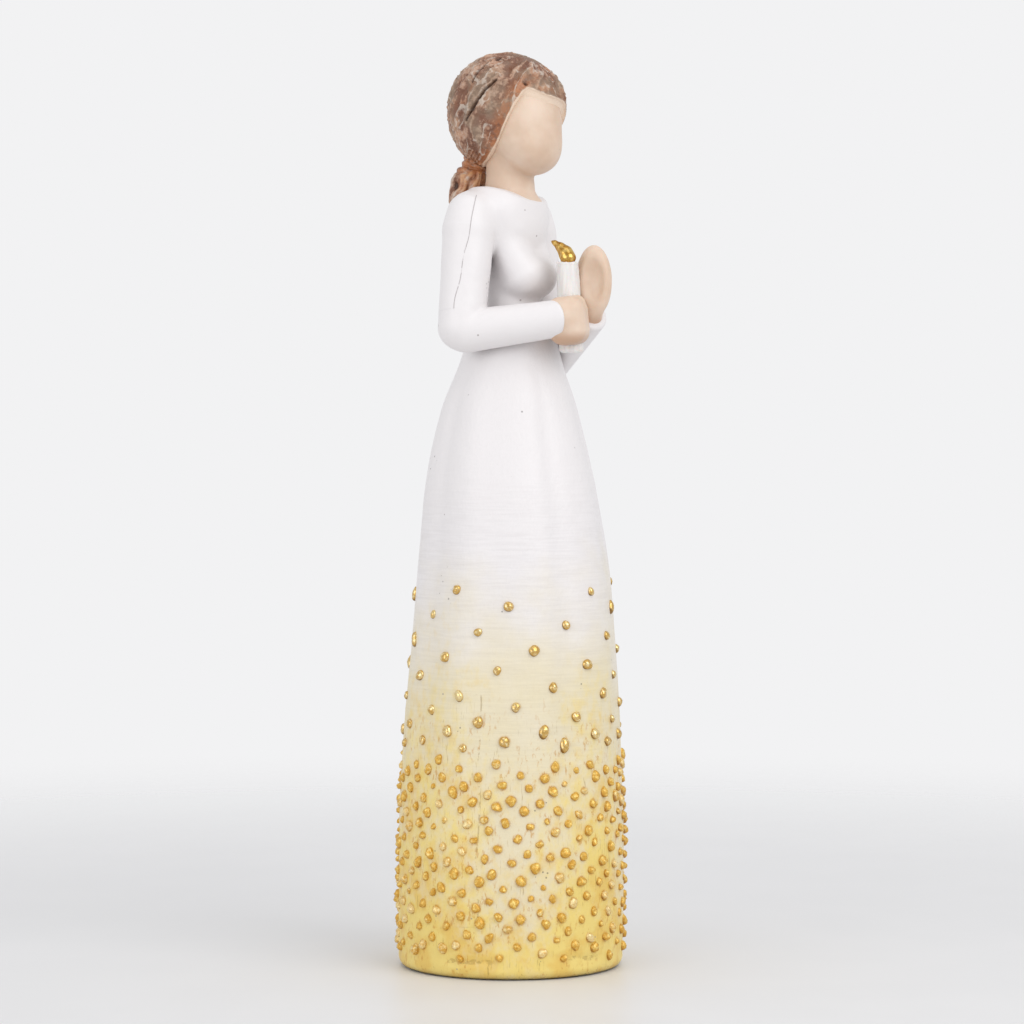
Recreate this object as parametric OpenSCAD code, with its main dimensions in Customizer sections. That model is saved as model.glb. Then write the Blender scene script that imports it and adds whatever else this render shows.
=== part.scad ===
// Standing faceless figurine in a long flared dress, holding a lit candle.
// It stands on +Z, faces -Y and has its right hand on the -X side.
// The origin is the centre of the underside of the felt pad.

/* [Skirt] */
// Height of the glued waist joint above the table
waist_z = 148; // [142:1:152]
// Radius of the skirt just above its hem
hem_r = 26.5; // [24:0.5:29]
// Radius of the round waist joint
waist_r = 10.4; // [9.5:0.1:11]
// Number of soft folds around the skirt
fold_count = 9; // [5:1:13]
// Height of the soft folds
fold_depth = 0.45; // [0:0.05:0.8]
// Rounding of the lower edge of the hem
hem_round = 2.5; // [2:0.5:4]

/* [Felt pad] */
// Radius of the felt pad
pad_r = 22; // [18:0.5:23]
// Thickness of the felt pad
pad_t = 1.2; // [0.8:0.1:2]
// How far the pad stands out of its recess
pad_proud = 0.2; // [0.1:0.1:0.4]

/* [Gold dots] */
// Diameter of a painted hem dot
dot_d = 2.6; // [2:0.1:3]
// Number of painted dots around the hem
hem_dot_count = 430; // [100:10:440]
// Height up to which the hem is covered with painted dots
hem_dot_top_z = 50; // [40:1:55]
// Diameter of a loose metallic dot above the hem
stud_d = 2.2; // [1.6:0.1:2.8]
// Number of loose metallic dots around the skirt
stud_count = 74; // [20:1:90]
// How far a dot strays from its even place
dot_stray = 0.7; // [0:0.1:1]

/* [Arms] */
// Distance of each shoulder joint face from the middle
shoulder_x = 9.5; // [9:0.1:10]
// Radius of a sleeve at the shoulder
shoulder_r = 5.7; // [5.4:0.1:6]
// Radius of a sleeve at the elbow
elbow_r = 5.8; // [5.2:0.1:6.2]
// Radius of a sleeve at the cuff
cuff_r = 4.7; // [4.2:0.1:5]

/* [Head and hair] */
// Height of the middle of the skull
skull_z = 201.8; // [200:0.5:203]
// Half width, half depth and half height of the skull
skull_size = [10.6, 12.3, 12.1];
// Thickness of the hair over the skull
hair_t = 2.1; // [1.6:0.1:2.4]
// Thickness of the fringe over the forehead
fringe_t = 1.1; // [1:0.1:1.8]
// Radius of the neck
neck_r = 5.5; // [5:0.1:6]

/* [Candle] */
// Radius of the candle
candle_r = 2.9; // [2.4:0.1:3.2]
// Height of the top of the candle
candle_top_z = 166; // [163:1:168]
// Height of the bottom of the candle
candle_base_z = 144.5; // [143:0.5:146]

/* [Steel pins] */
// Diameter of the waist dowel
waist_pin_d = 4; // [3:0.5:5]
// Diameter of the neck dowel
neck_pin_d = 3; // [2:0.5:4]
// Diameter of a wrist pin
wrist_pin_d = 1.6; // [1.2:0.1:2]

/* [Hidden] */

skirt_sides = 54;
body_sides = 36;
limb_sides = 24;
hull_fn = 28;
round_fn = 48;
far = 60;

// Colours
dress_white = [0.94, 0.93, 0.91];
hem_gold = [0.80, 0.58, 0.20];
skin = [0.90, 0.80, 0.70];
hair_brown = [0.56, 0.37, 0.26];
bright_gold = [0.86, 0.66, 0.25];
felt_green = [0.25, 0.28, 0.24];
steel = [0.70, 0.71, 0.72];
wax_white = [0.95, 0.95, 0.93];

// Skirt: each station is height, radius and how far the middle lies forward
skirt_base_z = pad_proud;
waist_forward = 0.6;
skirt_stations = [
    [hem_round, hem_r, 0.2],
    [30, hem_r + 0.1, 0.5],
    [56, hem_r - 1.1, 0.7],
    [75, hem_r - 2.5, 1.2],
    [93, hem_r - 4.0, 1.2],
    [111, hem_r - 6.2, 0.5],
    [120, hem_r - 7.9, 0.1],
    [133, hem_r - 11.1, 0.0],
    [143, (hem_r - 14.6 + waist_r) / 2 + 0.6, 0.4],
    [waist_z, waist_r, waist_forward]
];

skirt_ring_count = 20;
fold_fade = 20;
fold_swing = 25;

// Gold dots
golden_angle = 137.508;
stud_top_z = 92;

// Bodice: each station is height, half width, half depth and forward shift
bodice_rise = 40;
bodice_stations = [
    [waist_z, waist_r, waist_r, waist_forward],
    [waist_z + 9, 9.9, 8.9, 1.0],
    [waist_z + 18, 10.6, 9.6, 1.8],
    [waist_z + 25, 11.2, 9.4, 1.8],
    [waist_z + 31, 11.6, 8.4, 0.9],
    [waist_z + 35, 10.6, 7.4, 0.2],
    [waist_z + bodice_rise, 7.2, 6.6, 0]
];

// Arm joints, as points on each arm's middle line
right_shoulder = [-12.2, 2.8, 176.8];
right_elbow = [-16.8, 2.0, 150.4];
right_cuff = [-6.4, -19.0, 152.3];
left_shoulder = [12.2, 2.8, 176.8];
left_elbow = [15.2, -0.8, 143.8];
left_cuff = [6.4, -18.2, 153.2];
left_elbow_r = elbow_r - 0.6;
left_cuff_r = cuff_r - 0.9;

// How far above and below the waist the arms can reach the dress
arm_reach_up = 12;
arm_reach_down = 18;

// Candle, flame and hands
candle_at = [0.4, -16.8];
flame_lean = 4.6;
flame_h = 6;
wick_r = 0.45;
wick_rise = 2.2;
wick_depth = 5;
grip_at = [candle_at[0], candle_at[1] - 0.4, 152.2];
right_wrist_at = right_cuff + [0.6, -0.6, 0];
palm_at = [5.2, -20.3, 161.2];
palm_size = [2.6, 5.4, 9];
palm_hollow_at = palm_at + [-6.4, 0.5, 0.6];
palm_hollow_r = 5.8;
left_wrist_at = left_cuff + [-0.2, -0.6, 1];
left_wrist_r = 3;

// Neck, head and hair
neck_base_z = waist_z + 31;
neck_top_z = skull_z - 9;
neckline_at = [0, 0, waist_z + 34.6];
neckline_slope = 18;
chin_at = [0, -7.7, skull_z - 9.0];
chin_r = 5.6;
jaw_at = [0, -2.4, skull_z - 7.4];
jaw_r = 7.6;
part_at = [0, -9.8, 207];
part_slope = 25;
fringe_at = [0, -12, skull_z + 2.8];
fringe_slope = 18;
skull_forward = 0.9;
hair_back = 1.5;
nape_at = [0, 5.5, skull_z - 7];
nape_size = [8, 7, 6];
knot_at = [-1.6, 8.4, 189.6];
knot_r = 3.6;
tail_reach = 16;
tail_stations = [
    [0, -1.8, 9.4, 189.5, 1.8, 1.6],
    [1, -2.6, 10.6, 185.5, 4.0, 3.5],
    [2, -3.8, 11.6, 181.0, 4.2, 3.4],
    [3, -4.6, 12.0, 176.0, 3.2, 2.7],
    [4, -4.6, 11.8, 171.0, 1.8, 1.7],
    [5, -4.4, 11.6, 168.6, 0.5, 0.5]
];
flame_stations = [
    [0, 0, 0, 0, 1.0, 1.0],
    [1, 0, 0.1, 1.4, 2.3, 1.5],
    [2, -0.1, 1.2, 3.2, 2.1, 1.3],
    [3, -0.3, 3.0, 4.8, 1.2, 0.8],
    [4, -0.4, flame_lean, flame_h, 0.25, 0.2]
];

// Dowels and pins
waist_pin_half = 12;
neck_pin_base_z = neck_base_z - 10;
neck_pin_top_z = skull_z + 2;
wrist_pin_half = 3.2;

// Position on the smooth curve through stations [t, a, b, ...]
function station_before(stations, t, i = 0) =
    (i >= len(stations) - 2 || t < stations[i + 1][0]) ? i : station_before(stations, t, i + 1);
function station_slope(stations, i) =
    let (a = stations[max(i - 1, 0)], b = stations[min(i + 1, len(stations) - 1)])
    (b - a) / (b[0] - a[0]);
function curve_at(stations, t) =
    let (
        i = station_before(stations, t),
        a = stations[i],
        b = stations[i + 1],
        step = b[0] - a[0],
        s = (t - a[0]) / step,
        s2 = s * s,
        s3 = s2 * s
    )
    (2 * s3 - 3 * s2 + 1) * a + (s3 - 2 * s2 + s) * step * station_slope(stations, i)
    + (3 * s2 - 2 * s3) * b + (s3 - s2) * step * station_slope(stations, i + 1);

// Closed solid through rings of points, each ring anticlockwise about the way it goes
module loft(rings) {
    n = len(rings[0]);
    last = len(rings) - 1;
    points = [for (ring = rings) each ring];
    lower = [
        for (i = [0:last - 1], j = [0:n - 1])
        [i * n + j, (i + 1) * n + j, (i + 1) * n + (j + 1) % n]
    ];
    upper = [
        for (i = [0:last - 1], j = [0:n - 1])
        [i * n + j, (i + 1) * n + (j + 1) % n, i * n + (j + 1) % n]
    ];
    caps = [
        [for (j = [0:n - 1]) j],
        [for (j = [n - 1:-1:0]) last * n + j]
    ];
    polyhedron(points, concat(lower, upper, caps), convexity = 6);
}

// Solid along a path of stations [t, x, y, z, half width, half depth]
function unit(v) = v / norm(v);
function path_point(stations, t) = let (s = curve_at(stations, t)) [s[1], s[2], s[3]];
function path_ring(stations, t, across, sides) =
    let (
        s = curve_at(stations, t),
        end = stations[len(stations) - 1][0],
        nudge = 0.02,
        way = unit(path_point(stations, min(t + nudge, end)) - path_point(stations, max(t - nudge, 0))),
        side = unit(cross(way, across)),
        up = cross(way, side)
    )
    [for (k = [0:sides - 1]) let (a = 360 * k / sides)
        [s[1], s[2], s[3]] + s[4] * cos(a) * side + s[5] * sin(a) * up];
module tapered_path(stations, across, steps, sides) {
    end = stations[len(stations) - 1][0];
    loft([for (i = [0:steps]) path_ring(stations, end * i / steps, across, sides)]);
}

// Everything beyond a plane through a point, on the side that the normal points to
module beyond(point, normal) {
    translate(point)
        rotate([0, acos(unit(normal)[2]), atan2(normal[1], normal[0])])
            translate([-far, -far, 0])
                cube([2 * far, 2 * far, far]);
}

// Straight round pin centred on a point
module pin(point, way, d, half) {
    translate(point)
        rotate([0, acos(unit(way)[2]), atan2(way[1], way[0])])
            translate([0, 0, -half])
                cylinder(h = 2 * half, d = d, $fn = round_fn);
}

// Skirt: the folds swing from an even spacing, and fade at the waist and the hem
function skirt_fold(z, a) =
    fold_depth * sin(fold_count * a + fold_swing * sin(2 * a))
    * min(1, (waist_z - z) / fold_fade) * min(1, z / hem_round);
function skirt_radius(z, a) = curve_at(skirt_stations, z)[1] + skirt_fold(z, a);
function skirt_middle(z) = [0, -curve_at(skirt_stations, z)[2]];
function skirt_ring(z, shrink = 0) =
    [for (k = [0:skirt_sides - 1])
        let (a = 360 * k / skirt_sides, r = skirt_radius(z, a) - shrink, m = skirt_middle(z))
        [m[0] + r * cos(a), m[1] + r * sin(a), z]];
function hem_edge_rings() =
    [for (a = [0:30:60])
        let (z = skirt_base_z + (hem_round - skirt_base_z) * sin(a))
        [for (p = skirt_ring(hem_round, hem_round * 0.5 * (1 - cos(90 - a)))) [p[0], p[1], z]]];

module skirt() {
    rise = waist_z - hem_round;
    color(dress_white)
        difference() {
            loft(concat(
                hem_edge_rings(),
                [for (i = [0:skirt_ring_count]) skirt_ring(hem_round + rise * i / skirt_ring_count)]
            ));
            translate([0, 0, skirt_base_z - 1])
                cylinder(h = pad_t - pad_proud + 1, r = pad_r, $fn = round_fn);
            waist_pin_shape();
        }
}

module base_pad() {
    color(felt_green)
        cylinder(h = pad_t, r = pad_r, $fn = round_fn);
}

// Dots: spheres sunk to just under half their depth into the skirt
module dot_on_skirt(z, a, d) {
    m = skirt_middle(z);
    r = skirt_radius(z, a);
    translate([m[0] + r * cos(a), m[1] + r * sin(a), z])
        sphere(d = d, $fn = hull_fn);
}

// Both sets turn by the golden angle from dot to dot, so that none line up
function stray(count, seed) = rands(-dot_stray, dot_stray, count, seed);

module hem_dots() {
    first_z = hem_round + dot_d / 2 + dot_stray;
    rise = (hem_dot_top_z - first_z) / hem_dot_count;
    up = stray(hem_dot_count, 3);
    round_way = stray(hem_dot_count, 5) / hem_r * 180 / PI;
    color(hem_gold)
        for (i = [0:hem_dot_count - 1])
            dot_on_skirt(first_z + rise * i + up[i], golden_angle * i + round_way[i], dot_d);
}

// The loose dots thin out upward
module skirt_studs() {
    first_z = hem_dot_top_z + dot_d + dot_stray;
    thinning = 1.7;
    up = stray(stud_count, 7);
    round_way = stray(stud_count, 11) / hem_r * 180 / PI;
    color(bright_gold)
        for (i = [0:stud_count - 1])
            dot_on_skirt(
                first_z + (stud_top_z - first_z) * pow(i / stud_count, thinning) + up[i],
                golden_angle * i + round_way[i],
                stud_d
            );
}

// Waist and neck dowels
module waist_pin_shape() {
    pin([0, -waist_forward, waist_z], [0, 0, 1], waist_pin_d, waist_pin_half);
}
module waist_dowel() {
    color(steel)
        waist_pin_shape();
}
module neck_pin_shape() {
    translate([0, 0, neck_pin_base_z])
        cylinder(h = neck_pin_top_z - neck_pin_base_z, d = neck_pin_d, $fn = round_fn);
}
module neck_dowel() {
    color(steel)
        neck_pin_shape();
}

// Bodice
function bodice_ring(z) =
    let (s = curve_at(bodice_stations, z))
    [for (k = [0:body_sides - 1]) let (a = 360 * k / body_sides) [s[1] * cos(a), s[2] * sin(a) - s[3], z]];

module bodice() {
    ring_count = 16;
    color(dress_white)
        difference() {
            loft([for (i = [0:ring_count]) bodice_ring(waist_z + bodice_rise * i / ring_count)]);
            for (side = [-1, 1])
                beyond([side * shoulder_x, 0, waist_z], [side, 0, 0]);
            beyond(neckline_at, [0, -sin(neckline_slope), cos(neckline_slope)]);
            neck_shape();
            waist_pin_shape();
            neck_pin_shape();
        }
}

// Neck: round, flaring into the shoulders
module neck_shape() {
    flare = 2.6;
    flare_h = 8;
    rotate_extrude($fn = round_fn)
        polygon(concat(
            [[0, neck_base_z]],
            [for (a = [0:15:90])
                [neck_r + flare * (1 - sin(a)), neck_base_z + flare_h * (1 - cos(a))]],
            [[neck_r, neck_top_z], [0, neck_top_z]]
        ));
}
module neck() {
    color(skin)
        difference() {
            neck_shape();
            neck_pin_shape();
        }
}

// Sleeves: round tapered tubes, mitred together at the elbow
module limb(from, to, from_r, to_r) {
    hull() {
        translate(from)
            sphere(r = from_r, $fn = hull_fn);
        translate(to)
            sphere(r = to_r, $fn = hull_fn);
    }
}
function mitre(shoulder, elbow, cuff) = unit(unit(shoulder - elbow) - unit(cuff - elbow));

module upper_sleeve(shoulder, elbow, cuff, bend_r) {
    side = sign(shoulder[0]);
    color(dress_white)
        difference() {
            limb(shoulder, elbow, shoulder_r, bend_r);
            beyond([side * shoulder_x, 0, elbow[2]], [-side, 0, 0]);
            beyond(elbow, -mitre(shoulder, elbow, cuff));
        }
}
module forearm_sleeve(shoulder, elbow, cuff, bend_r, end_r, bore = true) {
    reach = unit(cuff - elbow);
    difference() {
        limb(elbow, cuff + end_r * reach, bend_r, end_r);
        beyond(elbow, mitre(shoulder, elbow, cuff));
        beyond(cuff, reach);
        if (bore)
            pin(cuff, reach, wrist_pin_d, wrist_pin_half);
    }
}
module waist_shape() {
    loft([for (z = [waist_z - arm_reach_down:3:waist_z]) skirt_ring(z)]);
    loft([for (z = [waist_z:2:waist_z + arm_reach_up]) bodice_ring(z)]);
}
module right_upper_sleeve() {
    upper_sleeve(right_shoulder, right_elbow, right_cuff, elbow_r);
}
module left_upper_sleeve() {
    upper_sleeve(left_shoulder, left_elbow, left_cuff, left_elbow_r);
}
module right_forearm_sleeve() {
    color(dress_white)
        difference() {
            forearm_sleeve(right_shoulder, right_elbow, right_cuff, elbow_r, cuff_r);
            waist_shape();
        }
}
module left_forearm_sleeve() {
    color(dress_white)
        difference() {
            forearm_sleeve(left_shoulder, left_elbow, left_cuff, left_elbow_r, left_cuff_r);
            waist_shape();
        }
}

// Wrist pins, each half in the sleeve and half in the hand
module right_wrist_pin() {
    color(steel)
        pin(right_cuff, right_cuff - right_elbow, wrist_pin_d, wrist_pin_half);
}
module left_wrist_pin() {
    color(steel)
        pin(left_cuff, left_cuff - left_elbow, wrist_pin_d, wrist_pin_half);
}

// Head: smooth and faceless
module skull_ball(extra) {
    translate([0, -skull_forward, skull_z])
        scale(skull_size + extra * [1, 1, 1])
            sphere(r = 1, $fn = hull_fn);
}
module head_shape() {
    hull() {
        skull_ball(0);
        translate(chin_at)
            sphere(r = chin_r, $fn = hull_fn);
        translate(jaw_at)
            sphere(r = jaw_r, $fn = hull_fn);
    }
}
module head() {
    color(skin)
        difference() {
            head_shape();
            translate([0, 0, neck_base_z])
                cylinder(h = neck_top_z - neck_base_z, r = neck_r, $fn = round_fn);
            neck_pin_shape();
        }
}

// Hair: a shell over the skull, split into the swept-back cap and the fringe
module hair_outline() {
    hull() {
        translate([0, hair_back, skull_z])
            scale(skull_size + hair_t * [1, 1, 1])
                sphere(r = 1, $fn = hull_fn);
        translate(nape_at)
            scale(nape_size)
                sphere(r = 1, $fn = hull_fn);
        skull_ball(fringe_t);
    }
}
module hair_cap() {
    color(hair_brown)
        difference() {
            hair_outline();
            head_shape();
            beyond(part_at, [0, -cos(part_slope), -sin(part_slope)]);
            translate([0, 0, neck_base_z])
                cylinder(h = neck_top_z - neck_base_z, r = neck_r, $fn = round_fn);
        }
}
module hair_fringe() {
    color(hair_brown)
        difference() {
            intersection() {
                skull_ball(fringe_t);
                beyond(part_at, [0, -cos(part_slope), -sin(part_slope)]);
            }
            head_shape();
            beyond(fringe_at, [-sin(fringe_slope), 0, -cos(fringe_slope)]);
        }
}
module knot_shape() {
    translate(knot_at)
        sphere(r = knot_r, $fn = round_fn);
}
module hair_knot() {
    color(hair_brown)
        difference() {
            knot_shape();
            hair_outline();
            head_shape();
            neck_shape();
        }
}
module ponytail() {
    color(hair_brown)
        difference() {
            tapered_path(tail_stations, [0, 1, 0], 14, limb_sides);
            knot_shape();
            hair_outline();
            loft([for (z = [waist_z + tail_reach:2:waist_z + bodice_rise]) bodice_ring(z)]);
        }
}

// Right hand: a blunt mitten closed round the candle
module right_hand() {
    wrist_r = 3.9;
    fist_r = 4.7;
    grip_half = 1.2;
    color(skin)
        difference() {
            hull() {
                translate(right_wrist_at)
                    sphere(r = wrist_r, $fn = hull_fn);
                for (dz = [-grip_half, grip_half])
                    translate(grip_at + [0, 0, dz])
                        sphere(r = fist_r, $fn = hull_fn);
            }
            forearm_sleeve(right_shoulder, right_elbow, right_cuff, elbow_r, cuff_r, false);
            candle_shape();
            pin(right_cuff, right_cuff - right_elbow, wrist_pin_d, wrist_pin_half);
        }
}

// Left hand: an upright cupped palm beside the flame
module left_hand() {
    color(skin)
        difference() {
            hull() {
                translate(palm_at)
                    scale(palm_size)
                        sphere(r = 1, $fn = hull_fn);
                translate(left_wrist_at)
                    sphere(r = left_wrist_r, $fn = hull_fn);
            }
            forearm_sleeve(left_shoulder, left_elbow, left_cuff, left_elbow_r, left_cuff_r, false);
            translate(palm_hollow_at)
                sphere(r = palm_hollow_r, $fn = round_fn);
            pin(left_cuff, left_cuff - left_elbow, wrist_pin_d, wrist_pin_half);
        }
}

// Candle, wick and flame
module candle_shape() {
    edge = 0.4;
    translate([candle_at[0], candle_at[1], candle_base_z])
        rotate_extrude($fn = round_fn)
            polygon([
                [0, 0],
                [candle_r, 0],
                [candle_r, candle_top_z - candle_base_z - edge],
                [candle_r - edge, candle_top_z - candle_base_z],
                [0, candle_top_z - candle_base_z]
            ]);
}
module wick_shape() {
    translate([candle_at[0], candle_at[1], candle_top_z - wick_depth])
        cylinder(h = wick_depth + wick_rise, r = wick_r, $fn = round_fn);
}
module candle() {
    color(wax_white)
        difference() {
            candle_shape();
            wick_shape();
        }
}
module wick() {
    color(steel)
        wick_shape();
}
module flame() {
    color(bright_gold)
        difference() {
            translate([candle_at[0], candle_at[1], candle_top_z])
                tapered_path(flame_stations, [0, 1, 0], 12, limb_sides);
            wick_shape();
        }
}

base_pad();
skirt();
skirt_studs();
hem_dots();
waist_dowel();
bodice();
right_upper_sleeve();
right_forearm_sleeve();
left_upper_sleeve();
left_forearm_sleeve();
neck();
neck_dowel();
head();
hair_cap();
hair_fringe();
hair_knot();
ponytail();
right_hand();
left_hand();
right_wrist_pin();
left_wrist_pin();
candle();
wick();
flame();
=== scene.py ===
"""Looks of a faceless resin figurine in a long dress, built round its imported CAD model.

Shapes are worked out in millimetres in the row frame, and their meshes are written in metres.
"""

import itertools
import math

import bpy
import numpy as np
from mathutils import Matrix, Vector, kdtree


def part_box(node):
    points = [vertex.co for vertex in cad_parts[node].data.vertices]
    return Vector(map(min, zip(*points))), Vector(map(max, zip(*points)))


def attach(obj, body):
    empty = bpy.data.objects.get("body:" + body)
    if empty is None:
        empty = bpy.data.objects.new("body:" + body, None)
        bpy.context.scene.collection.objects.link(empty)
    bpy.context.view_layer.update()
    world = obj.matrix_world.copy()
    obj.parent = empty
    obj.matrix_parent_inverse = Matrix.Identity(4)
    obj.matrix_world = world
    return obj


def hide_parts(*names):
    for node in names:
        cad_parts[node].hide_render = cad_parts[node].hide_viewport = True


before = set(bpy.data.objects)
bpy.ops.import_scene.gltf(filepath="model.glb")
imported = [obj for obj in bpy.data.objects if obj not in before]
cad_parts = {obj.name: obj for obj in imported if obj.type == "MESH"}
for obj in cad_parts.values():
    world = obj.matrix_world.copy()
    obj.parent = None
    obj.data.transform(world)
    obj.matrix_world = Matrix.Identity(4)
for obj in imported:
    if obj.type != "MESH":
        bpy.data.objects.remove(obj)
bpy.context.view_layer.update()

BODY = "figurine"
MM = 0.001
SEED = 20


# ---------------- places in the CAD model

def box_mm(node):
    """Lowest and highest corner of a CAD node, in millimetres."""
    low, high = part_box(node)
    return np.array(low) / MM, np.array(high) / MM


def spot(node, across, along, up):
    """Point at these shares of a CAD node's box, in millimetres."""
    low, high = box_mm(node)
    return low + (high - low) * np.array([across, along, up])


def room(nodes, margin):
    """Lowest and highest corner round some CAD nodes, with a margin."""
    low, high = zip(*(box_mm(node) for node in nodes))
    return np.min(low, axis=0) - margin, np.max(high, axis=0) + margin


def unit(v):
    v = np.asarray(v, float)
    return v / np.linalg.norm(v)


WAIST = spot("waist_dowel", 0.5, 0.5, 0.5)
R_SHOULDER = spot("right_upper_sleeve", 0.793, 0.530, 0.844)
R_ELBOW = spot("right_upper_sleeve", 0.441, 0.463, 0.116)
R_CUFF = spot("right_wrist_pin", 0.5, 0.5, 0.5)
L_SHOULDER = spot("left_upper_sleeve", 0.248, 0.588, 0.869)
L_ELBOW = spot("left_upper_sleeve", 0.525, 0.327, 0.104)
L_CUFF = spot("left_wrist_pin", 0.5, 0.5, 0.5)
PALM = spot("left_hand", 0.376, 0.5, 0.527)
SKULL = spot("head", 0.5, 0.503, 0.551)
CHIN = spot("head", 0.5, 0.226, 0.216)
HAIR_MIDDLE = spot("hair_cap", 0.5, 0.471, 0.49)
KNOT = spot("hair_cap", 0.437, 0.726, 0.05)
CANDLE_FOOT = spot("candle", 0.44, 0.57, 0.0)
CANDLE_TOP = spot("candle", 0.44, 0.57, 0.98)
CANDLE_R = (box_mm("candle")[1][0] - box_mm("candle")[0][0]) / 2
NECK_FOOT = spot("neck", 0.5, 0.5, 0.0)
NECK_TOP = spot("neck", 0.5, 0.5, 1.0)


# ---------------- curves, noise and blends

def curve_at(stations, t):
    """Values of the smooth curve through rows of (t, value, ...), one array for each value."""
    rows = np.array(stations, float)
    knots, values = rows[:, 0], rows[:, 1:]
    slopes = np.gradient(values, knots, axis=0)
    t = np.asarray(t, float)
    i = np.clip(np.searchsorted(knots, t, side="right") - 1, 0, len(knots) - 2)
    step = (knots[i + 1] - knots[i])[..., None]
    s = np.clip((t - knots[i])[..., None] / step, 0, 1)
    found = (
        (1 + 2 * s) * (1 - s) ** 2 * values[i]
        + s * (1 - s) ** 2 * step * slopes[i]
        + s * s * (3 - 2 * s) * values[i + 1]
        + s * s * (s - 1) * step * slopes[i + 1]
    )
    return [found[..., k] for k in range(found.shape[-1])]


def ramp(value, low, high):
    """Smooth step from 0 at low to 1 at high."""
    t = np.clip((value - low) / (high - low), 0, 1)
    return t * t * (3 - 2 * t)


def noise(points, cell, seed=0):
    """Smooth noise from -1 to 1 that changes over about one cell."""
    q = points / np.asarray(cell, float) + 11.7 * (seed + SEED)
    base = np.floor(q)
    f = q - base
    f = f * f * (3 - 2 * f)
    base = base.astype(np.int64)
    total = np.zeros(len(points))
    for corner in itertools.product((0, 1), repeat=3):
        n = base + corner
        n = (n[:, 0] * 73856093) ^ (n[:, 1] * 19349663) ^ (n[:, 2] * 83492791)
        n = ((n ^ (n >> 13)) * 1274126177) & 0xFFFFFFFF
        value = ((n ^ (n >> 16)) & 0xFFFF) / 32767.5 - 1
        share = np.prod([f[:, k] if corner[k] else 1 - f[:, k] for k in range(3)], axis=0)
        total += share * value
    return total


def layered_noise(points, cell, layers, seed=0):
    cell = np.asarray(cell, float)
    return sum(noise(points, cell / 2 ** k, seed + k) / 2 ** k for k in range(layers))


def joined(a, b, soft):
    """Union of two distances, with a fillet about soft wide."""
    h = np.clip(0.5 + 0.5 * (b - a) / soft, 0, 1)
    return b + (a - b) * h - soft * h * (1 - h)


def common(a, b, soft):
    """What two distances have in common, with an edge rounded about soft."""
    return -joined(-a, -b, soft)


# ---------------- distances to shapes

def lattice(low, high, step):
    """Coordinates of a grid of points, as three arrays that broadcast together."""
    axes = [np.arange(a, b + step, step, dtype=np.float32) for a, b in zip(low, high)]
    return np.meshgrid(*axes, indexing="ij", sparse=True)


def reached(p, point, way):
    """How far each place lies past a point, along a direction."""
    return sum((p[k] - point[k]) * way[k] for k in range(3))


def oval_gap(q, radii):
    """Distance to an oval, from offsets already divided by its radii."""
    near = np.sqrt(sum(v * v for v in q))
    slope = np.sqrt(sum((v / r) ** 2 for v, r in zip(q, radii)))
    return near * (near - 1) / np.maximum(slope, 1e-5)


def ball(p, centre, radii):
    """Distance to an ellipsoid."""
    return oval_gap([(p[k] - centre[k]) / radii[k] for k in range(3)], radii)


def limb(p, a, b, ra, rb):
    """Distance to a round tapered bar from a to b."""
    way = b - a
    t = np.clip(reached(p, a, way) / (way @ way), 0, 1)
    gap = np.sqrt(sum((p[k] - a[k] - t * way[k]) ** 2 for k in range(3)))
    return gap - ra - (rb - ra) * t


def chain(p, stations, soft, start=None):
    """Distance to bars through rows of (point, radius), blended onto a start if there is one."""
    whole = start
    for (a, ra), (b, rb) in zip(stations, stations[1:]):
        bar = limb(p, a, b, ra, rb)
        whole = bar if whole is None else joined(whole, bar, soft)
    return whole


def slab(p, centre, turn, half, rounding):
    """Distance to a box with rounded edges. The rows of turn are its own three directions."""
    q = [np.abs(reached(p, centre, way)) - h + rounding for way, h in zip(turn, half)]
    outside = np.sqrt(sum(np.maximum(v, 0) ** 2 for v in q))
    inside = np.minimum(np.maximum(np.maximum(q[0], q[1]), q[2]), 0)
    return outside + inside - rounding


def column(p, stations):
    """Distance to an upright oval body: rows of (height, half width, half depth, middle y)."""
    wide, deep_shade, middle = curve_at(stations, p[2])
    return oval_gap((p[0] / wide, (p[1] - middle) / deep_shade), (wide, deep_shade))


# ---------------- meshes

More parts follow.
